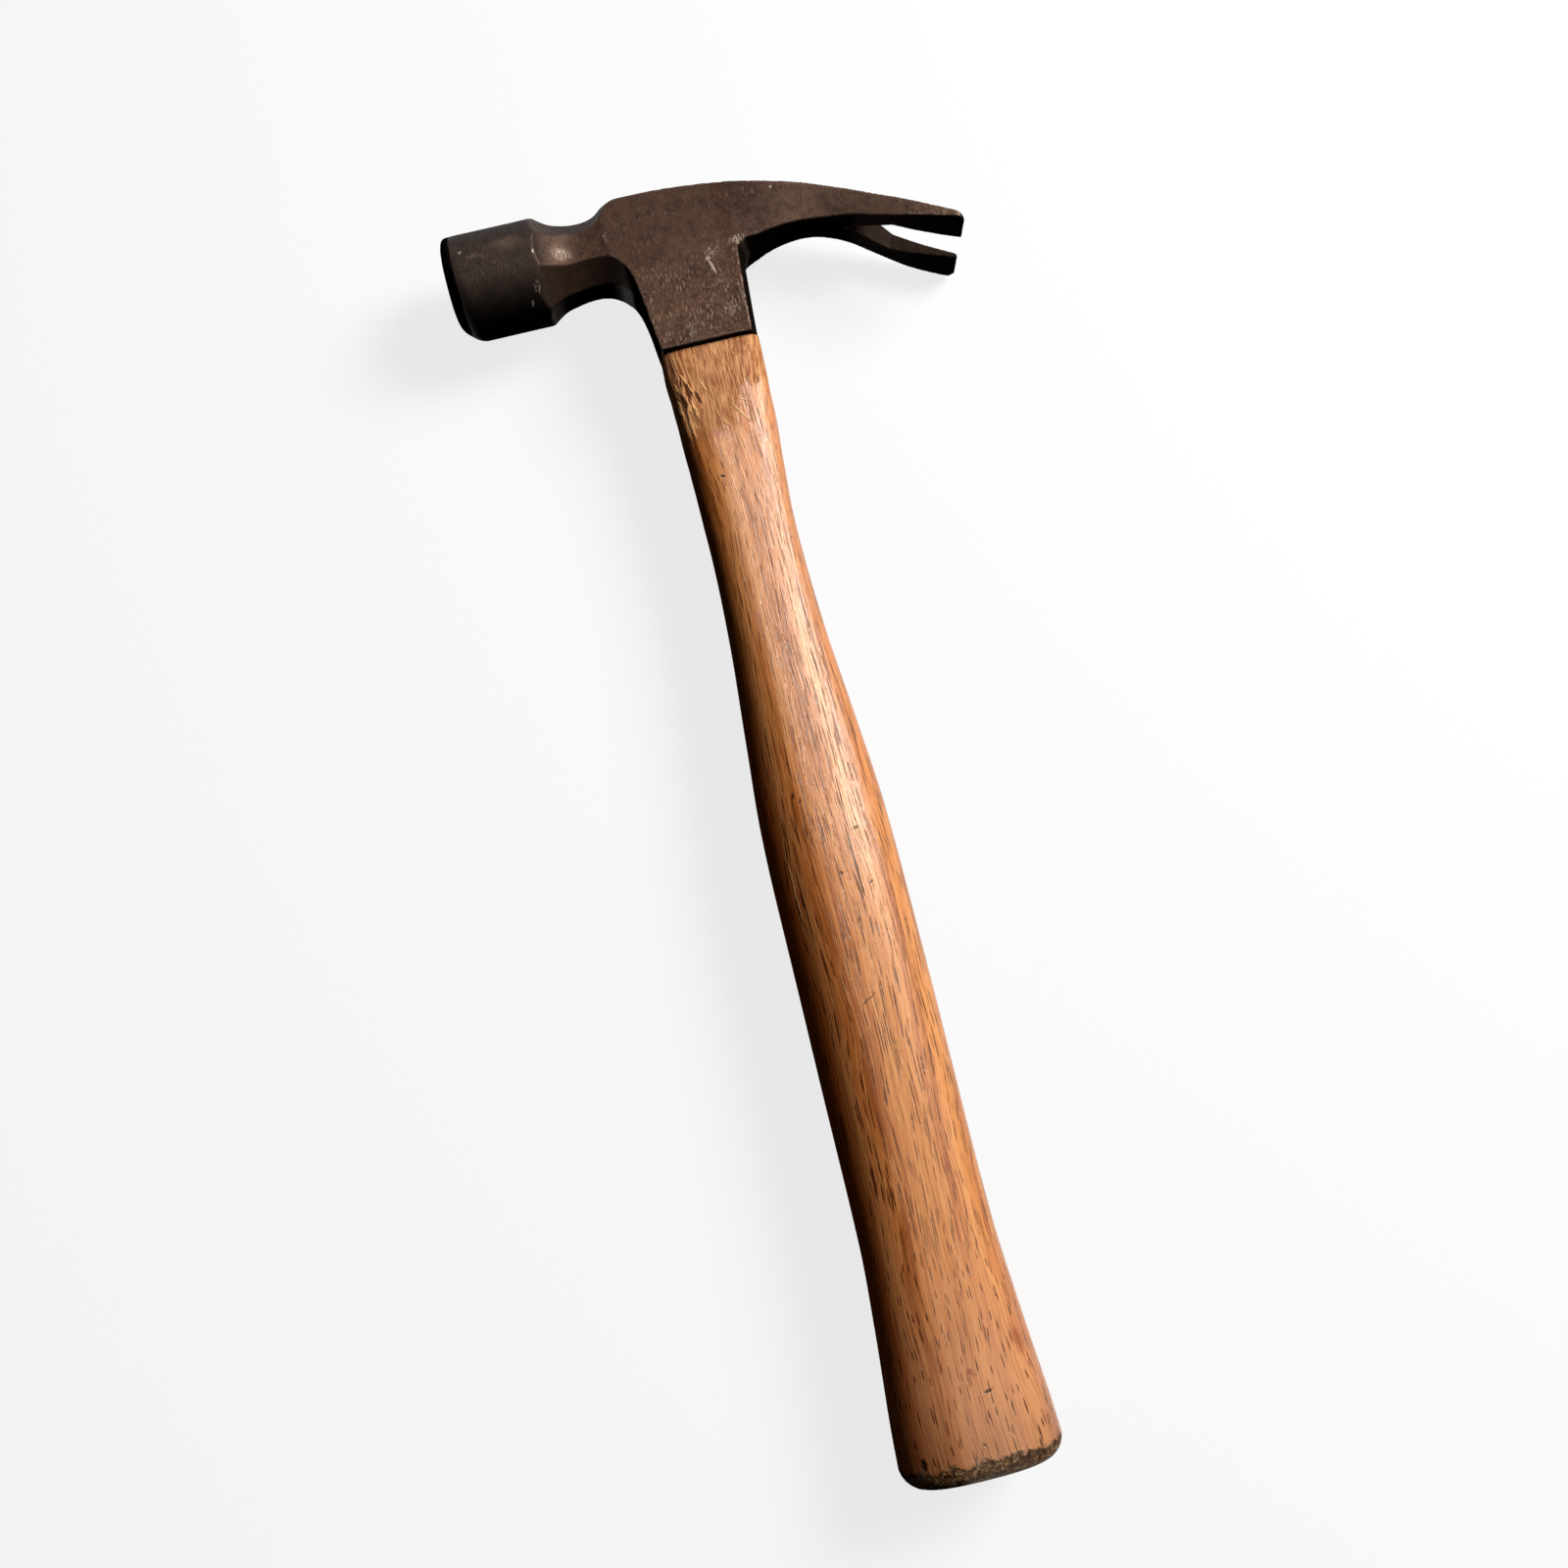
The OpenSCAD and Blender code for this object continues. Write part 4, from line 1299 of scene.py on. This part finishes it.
    def shape(self, x: Array, y: Array, z: Array) -> Array:
        """Field of the whole head.

        Args:
            x, y, z: places in millimetres.

        Returns:
            Negative values inside the steel.
        """
        solid = both(np.minimum(self.poll(x, y, z), self.body(x, y, z)), self.neck(x, y, z), self.cut_r)
        solid = both(solid, -self.eye.field(x, y, z), self.edge_r)
        return both(solid, -self.cut_slot(x, y, z), self.cut_r)

    def nicks(self) -> list[Nick]:
        """Scatters dents along the poll's rim, the claws' upper edges and the socket's ridges.

        Returns:
            The dents.
        """
        rng = np.random.default_rng(self.nick_seed)
        found = []
        for _ in range(self.rim_nicks):
            turn = rng.uniform(0, 2 * math.pi)
            out = self.poll_r - rng.uniform(0, 2.4)
            x = -self.face_reach + self.rim - (self.poll_r - out)
            found.append(Nick(x, self.poll_height + math.cos(turn) * out, math.sin(turn) * out,
                              rng.uniform(0.8, 2.0), rng.uniform(0.06, 0.2)))
        for _ in range(self.claw_nicks):
            side = rng.choice((-1, 1))
            x = rng.uniform(-12, 60)
            top, half = (float(line(np.array(x))) for line in (self.claw_top, self.half_width))
            found.append(Nick(x, top, side * half, rng.uniform(0.7, 1.6), rng.uniform(0.05, 0.16)))
        for _ in range(self.ridge_nicks):
            side = rng.choice((-1, 1))
            found.append(Nick(rng.uniform(13.0, 14.3), rng.uniform(1, 22), side * self.cheek_z,
                              rng.uniform(0.6, 1.2), rng.uniform(0.08, 0.2)))
        return found

    def build(self, finish: Material) -> Piece:
        """Meshes the head.

        Args:
            finish: the steel.

        Returns:
            The piece.
        """
        low = (-self.face_reach - 1.3, -self.margin, -self.tip_z - self.margin)
        high = (self.claw_reach + self.margin, self.poll_height + self.poll_r + self.margin,
                self.tip_z + self.margin)
        points, quads = Mesher.net(self.shape, low, high, self.cell)
        points, normals = Mesher.settle(self.worn, points, self.cell / 2)
        edge, hollow = self.wear(points)
        # Edges, hollows and the painted shade share go with each vertex for the steel's colours.
        carried = {"edge": edge, "hollow": hollow, "painted_shade": self.painted_shade(points, normals)}
        LOG.info("head: %d vertices, %d faces", len(points), len(quads))
        return Mesher.build("forged_head", points, quads, finish, normals, carried)

    @cached_property
    def dents(self) -> list[Nick]:
        """The scattered dents."""
        return self.nicks()

    def worn(self, x: Array, y: Array, z: Array) -> Array:
        """Field of the head with its unevenness and dents.

        Args:
            x, y, z: places in millimetres.

        Returns:
            Negative values inside the steel.
        """
        value = self.shape(x, y, z) - self.ripple.at(x, y, z)
        for dent in self.dents:
            away = np.sqrt((x - dent.x)**2 + (y - dent.y)**2 + (z - dent.z)**2)
            value = value + dent.depth * np.exp(-(away / dent.radius)**2)
        return value

    def painted_shade(self, points: Array, normals: Array) -> Array:
        """Reads which faces of the steel get painted shade, from which way each one turns.

        Args:
            points: vertices of the head.
            normals: their outward normals.

        Returns:
            Shares from 0 on the flat sides to 1 underneath, fore and aft and in the slot.
        """
        level, up = np.abs(normals[:, 0]), normals[:, 1]
        share = np.maximum(smooth_step(0.15, 0.95, -up), smooth_step(0.45, 0.9, level))
        ahead = smooth_step(-14, -20, points[:, 0])
        share = np.maximum(share, smooth_step(0.35 - 0.2 * ahead, 0.95, up) * (0.6 + 0.3 * ahead))
        inward = smooth_step(0.2, -0.5, np.sign(points[:, 2]) * normals[:, 2])
        in_slot = smooth_step(42, 47, points[:, 0]) * inward
        return np.maximum(share, in_slot * 0.85)

    def wear(self, points: Array) -> tuple[Array, Array]:
        """Reads how sharply the surface bends at each vertex.

        Args:
            points: vertices of the head.

        Returns:
            Shares from 0 to 1 for outer edges and for hollows.
        """
        around = -6 * self.shape(*points.T)
        for step in np.eye(3) * self.bend_reach:
            around += self.shape(*(points + step).T) + self.shape(*(points - step).T)
        return smooth_step(0.12, 0.55, around), smooth_step(0.02, 0.3, -around)


@dataclass
class Handle:
    """The hickory handle from its butt to the tenon in the eye."""

    length: float = PLACE.handle_length
    shoulder_w: float = 27.2
    shoulder_t: float = 17.4
    throat_w: float = 24.2
    grip_w: float = 34.0
    grip_t: float = 25.4
    butt_w: float = 41.6
    butt_t: float = 30.0
    butt_line: Knots = ((0, 5.2), (0.35, 4.0), (1.0, 2.8), (1.9, 1.75), (3.1, 0.85), (4.4, 0.3), (5.8, 0))
    shoulder_gap: float = 0.2
    tenon_sink: float = 2.0
    across: int = 160
    rings: int = 420
    lip_rings: int = 16
    tenon_rings: int = 60
    butt_shares: tuple = (0.15, 0.35, 0.55, 0.75, 0.9)
    tenon_shares: tuple = (0.97, 0.8, 0.6, 0.4, 0.2)
    eye: Eye = field(default_factory=Eye)
    ripple: Ripple = Ripple(seed=9, waves=12, shortest=18.0, longest=60.0, height=0.07)
    fibres: Ripple = Ripple(seed=21, waves=16, shortest=1.4, longest=4.0, height=0.09)

    def section(self, y: Array, half_x: Array, half_z: Array, shift: Array, power: Array) -> Array:
        """Draws rounded rings.

        Args:
            y: the height of each ring.
            half_x: half its width along X.
            half_z: half its depth along Z.
            shift: its middle along X.
            power: how square its corners are, from 2 for an oval.

        Returns:
            Points as ring, place on the ring and coordinate.
        """
        turn = np.linspace(0, 2 * math.pi, self.across, endpoint=False)[None, :]
        c, s = np.cos(turn), np.sin(turn)
        rows = (np.atleast_1d(v)[:, None] for v in (y, half_x, half_z, shift, power))
        y, half_x, half_z, shift, power = rows
        x = shift + half_x * np.sign(c) * np.abs(c)**(2 / power)
        z = half_z * np.sign(s) * np.abs(s)**(2 / power)
        return np.stack([x, y + 0 * turn, z], -1)

    @staticmethod
    def shrunk(lip: Array, shares: Sequence[float]) -> list[Array]:
        """Returns copies of one ring, each shrunk about its middle to a share."""
        middle = lip.mean(1, keepdims=True)
        return [middle + (lip - middle) * share for share in shares]

    def grip_rings(self, share: Array, inset: Array) -> Array:
        """Returns the handle's rings.

        Args:
            share: places as shares of the length below the socket.
            inset: how far each ring is drawn in.

        Returns:
            Points as ring, place on the ring and coordinate.
        """
        widths = (self.shoulder_w, self.throat_w, self.grip_w, self.butt_w)
        shoulder, throat, grip, butt = (w / 2 for w in widths)
        wide = [(0, shoulder + 0.1), (0.03, shoulder), (0.09, mix(throat, shoulder, 0.6)), (0.18, throat),
                (0.27, mix(throat, grip, 0.16)), (0.36, mix(throat, grip, 0.58)), (0.44, grip - 0.4),
                (0.55, grip), (0.8, grip), (0.87, mix(grip, butt, 0.3)), (0.95, mix(grip, butt, 0.8)),
                (1, butt)]
        neck, hand, end = (t / 2 for t in (self.shoulder_t, self.grip_t, self.butt_t))
        deep = [(0, neck + 0.6), (0.05, neck + 0.3), (0.2, neck + 0.3), (0.36, mix(neck, hand, 0.5)),
                (0.5, hand - 0.3), (0.75, hand), (0.88, mix(hand, end, 0.5)), (1, end)]
        boxy = [(0, 6), (0.03, 4.6), (0.12, 3.1), (0.35, 2.4), (1, 2.5)]
        shift = [(place, self.eye.shift * share) for place, share in
                 ((0, 0.75), (0.03, 0.75), (0.07, 0.7), (0.16, 0))]
        return self.section(-mix(self.shoulder_gap, self.length, share), curve(wide, share) - inset,
                            curve(deep, share) - inset, curve(shift, share), curve(boxy, share))

    def outline(self) -> Array:
        """Draws all rings from the middle of the butt to the middle of the tenon's end.

        Returns:
            Points as ring, place on the ring and coordinate.
        """
        inset, up = (np.array(part) for part in zip(*self.butt_line))
        steps = np.linspace(len(up) - 1, 0, self.lip_rings)
        rise = np.interp(steps, np.arange(len(up)), up)
        turn = self.grip_rings(1 - rise / self.length, np.interp(steps, np.arange(len(up)), inset))
        flat = self.shrunk(self.grip_rings(np.array([1.0]), inset[-1:]), self.butt_shares)
        share = 1 - np.arange(1, self.rings + 1) / self.rings
        grip = self.grip_rings((1 - up[0] / self.length) * share, np.zeros(self.rings))
        y = np.linspace(-self.shoulder_gap, self.eye.height - self.tenon_sink, self.tenon_rings)
        inset = self.eye.inset(y) + self.eye.gap
        tenon = self.section(y, self.eye.length / 2 - inset, self.eye.width / 2 - inset,
                             np.full_like(y, self.eye.shift), np.full_like(y, self.eye.power))
        cap = self.shrunk(tenon[-1:], self.tenon_shares)
        return np.concatenate([*flat, turn, grip, tenon, *cap])

    def build(self, finish: Material) -> Piece:
        """Meshes the handle.

        Args:
            finish: the hickory.

        Returns:
            The piece.
        """
        rings = self.outline()
        points = np.concatenate([rings.reshape(-1, 3), [rings[0].mean(0), rings[-1].mean(0)]])
        x, y, z = points.T
        lift = self.ripple.at(x, y * 0.4, z) * smooth_step(-0.4, -6, y)
        rough = smooth_step(-46, -22, y) * smooth_step(-0.2, -3, y)
        lift += self.fibres.at(x, y * 0.16, z) * rough * 1.4
        out = np.stack([x - self.eye.shift, 0 * y, z], 1)
        out /= np.maximum(np.linalg.norm(out, axis=1, keepdims=True), Mesher.TINY)
        LOG.info("handle: %d vertices", len(points))
        return Mesher.build("hickory_handle", points + out * lift[:, None], Mesher.skin(rings), finish)


@dataclass
class Wedges:
    """The wooden wedge in the kerf and the two steel wedges across it."""

    eye: Eye = field(default_factory=Eye)
    top: float = 43.6
    wood_t: float = 3.4
    wood_depth: float = 28.0
    wood_inset: float = 1.2
    steel_t: float = 2.0
    steel_w: float = 12.0
    steel_depth: float = 16.0
    steel_pitch: float = 9.6
    blunt: float = 0.2
    proud: float = 0.12
    soft: float = 0.25
    across: int = 48
    squareness: float = 0.2

    def taper(self, name: str, centre_x: float, half_x: Sequence[float], half_z: Sequence[float],
              depth: float, proud: float, finish: Material) -> Piece:
        """Meshes one wedge with softened upper edges.

        Args:
            name: the piece's name.
            centre_x: its middle along X.
            half_x: half its size along X at the top and at the bottom.
            half_z: half its size along Z at the top and at the bottom.
            depth: how deep it goes.
            proud: how far it stands above the tenon.
            finish: its material.

        Returns:
            The piece.
        """
        turn = np.linspace(0, 2 * math.pi, self.across, endpoint=False)
        c, s = (np.sign(v) * np.abs(v)**self.squareness for v in (np.cos(turn), np.sin(turn)))
        rings = []
        for level, share, shrink in ((-depth, 1.0, 0.0), (-depth / 2, 0.5, 0.0), (-1.0, 1.0 / depth, 0.0),
                                     (proud - self.soft, 0.0, 0.0),
                                     (proud - self.soft * 0.3, 0.0, self.soft * 0.3),
                                     (proud, 0.0, self.soft)):
            wide = mix(*half_x, share) - shrink
            deep = mix(*half_z, share) - shrink
            rings.append(np.stack([centre_x + wide * c, np.full_like(c, self.top + level), deep * s], -1))
        stack = np.stack(rings)
        points = np.concatenate([stack.reshape(-1, 3), [stack[0].mean(0), stack[-1].mean(0)]])
        return Mesher.build(name, points, Mesher.skin(stack), finish)

    def build(self, wood: Material, steel: Material) -> list[Piece]:
        """Meshes the three wedges.

        Args:
            wood: finish of the wooden wedge.
            steel: finish of the steel wedges.

        Returns:
            The wooden wedge, then the steel wedge nearer the face, then the other.
        """
        half = self.eye.length / 2 - self.eye.waist - self.eye.gap - self.wood_inset
        wood_t, steel_t = ((t / 2, t * self.blunt / 2) for t in (self.wood_t, self.steel_t))
        long = self.taper("oak_wedge", self.eye.shift, (half, half), wood_t, self.wood_depth, self.proud,
                          wood)
        pair = [self.taper("steel_wedge_" + place, self.eye.shift + side * self.steel_pitch / 2, steel_t,
                           (self.steel_w / 2,) * 2, self.steel_depth, self.proud * 2, steel)
                for side, place in ((-1, "by_face"), (1, "by_claws"))]
        return [long, *pair]


@dataclass
class Studio:
    """Plain pale floor, one soft lamp and the photograph's camera."""

    lens: float = 38.684
    sensor: float = 36.0
    eye_point: tuple = (-0.02716, -0.0678, 0.45327)
    right: tuple = (0.97183, -0.23558, -0.00697)
    up: tuple = (0.23345, 0.95816, 0.16562)
    back: tuple = (-0.03234, -0.16258, 0.98617)
    near: float = 0.01
    far: float = 60.0
    key_spot: tuple = (0.74, 0.35, 0.75)
    key_target: tuple = (0, -0.02, 0.02)
    key_size: float = 0.45
    key_power: float = 15.0
    floor_half: float = 6.0
    floor_z: float = -0.0002
    ambient: float = 0.03
    white: tuple = (1, 1, 1, 1)
    pale: tuple = (0.95, 0.95, 0.95, 1)
    dim: tuple = (0.05, 0.05, 0.05, 1)
    glow: float = 0.8

    def camera(self) -> None:
        """Stands the camera where the photograph was taken from."""
        data = bpy.data.cameras.new("photo_camera")
        data.lens = self.lens
        data.sensor_width = self.sensor
        data.clip_start = self.near
        data.clip_end = self.far
        camera = bpy.data.objects.new("photo_camera", data)
        turn = Matrix((self.right, self.up, self.back)).transposed()
        camera.matrix_world = Matrix.Translation(Vector(self.eye_point)) @ turn.to_4x4()
        bpy.context.scene.collection.objects.link(camera)
        bpy.context.scene.camera = camera

    def key_light(self) -> None:
        """Hangs the one soft lamp, up on the side of the claws."""
        data = bpy.data.lights.new("key_light", "AREA")
        data.shape = "RECTANGLE"
        data.size = data.size_y = self.key_size
        data.energy = self.key_power
        lamp = bpy.data.objects.new("key_light", data)
        lamp.location = self.key_spot
        way = Vector(self.key_spot) - Vector(self.key_target)
        lamp.rotation_euler = way.to_track_quat("Z", "Y").to_euler()
        bpy.context.scene.collection.objects.link(lamp)

    def seen(self, g: Graph) -> Socket:
        """Returns 1 for rays that show the background rather than light the object."""
        path = g.add("LightPath").outputs
        return g.most(*(path[kind] for kind in ("Is Camera Ray", "Is Glossy Ray", "Is Transmission Ray")))

    def floor(self) -> None:
        """Lays the pale floor, which glows for the camera and throws little light on the object."""
        g = Graph.named("pale_floor")
        pale = g.add("BsdfDiffuse", {"Color": self.pale}).outputs[0]
        white = g.add("Emission", {"Color": self.white, "Strength": 1.0}).outputs[0]
        shown = g.add("MixShader", {0: self.glow, 1: pale, 2: white}).outputs[0]
        dim = g.add("BsdfDiffuse", {"Color": self.dim}).outputs[0]
        half = self.floor_half
        mesh = bpy.data.meshes.new("floor")
        corners = [(x * half, y * half, self.floor_z) for x, y in ((-1, -1), (1, -1), (1, 1), (-1, 1))]
        mesh.from_pydata(corners, [], [(0, 1, 2, 3)])
        mesh.materials.append(g.end(g.add("MixShader", {0: self.seen(g), 1: dim, 2: shown})))
        floor = bpy.data.objects.new("floor", mesh)
        bpy.context.scene.collection.objects.link(floor)

    def room(self) -> None:
        """Gives the room a faint even light, and a white backdrop to what looks at it."""
        bpy.context.scene.world = bpy.data.worlds.new("studio")
        g = Graph(bpy.context.scene.world)
        g.end(g.add("Background", {"Strength": g.span(self.seen(g), 0, 1, self.ambient, 1.0)}))

    def build(self) -> None:
        """Makes the floor, the room, the camera and the lamp."""
        bpy.context.scene.view_settings.view_transform = "Standard"
        self.floor()
        self.room()
        self.camera()
        self.key_light()


class Body(Enum):
    """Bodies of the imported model."""

    ROOT = "root"


def dress(piece: Piece, node: str, slot: str) -> None:
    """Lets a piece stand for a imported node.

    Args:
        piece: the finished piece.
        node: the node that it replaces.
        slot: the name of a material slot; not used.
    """
    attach(piece, Body.ROOT.value)
    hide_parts(node)
    LOG.info("%s stands for %s", piece.name, node)


def main() -> None:
    """Builds the hammer and its studio."""
    logging.basicConfig(level=logging.INFO, format="%(name)s: %(message)s")
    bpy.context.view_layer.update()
    dress(Head().build(ForgedSteel().material()), "head", "forged_steel")
    dress(Handle().build(Hickory().material()), "handle", "hickory")
    wedges = Wedges().build(WedgeWood().material(), WedgeSteel().material())
    nodes = (("wooden_wedge", "wedge_wood"), ("steel_wedge_front", "wedge_steel"),
             ("steel_wedge_rear", "wedge_steel"))
    for piece, (node, slot) in zip(wedges, nodes):
        dress(piece, node, slot)
    Studio().build()


if __name__ == "__main__":
    main()
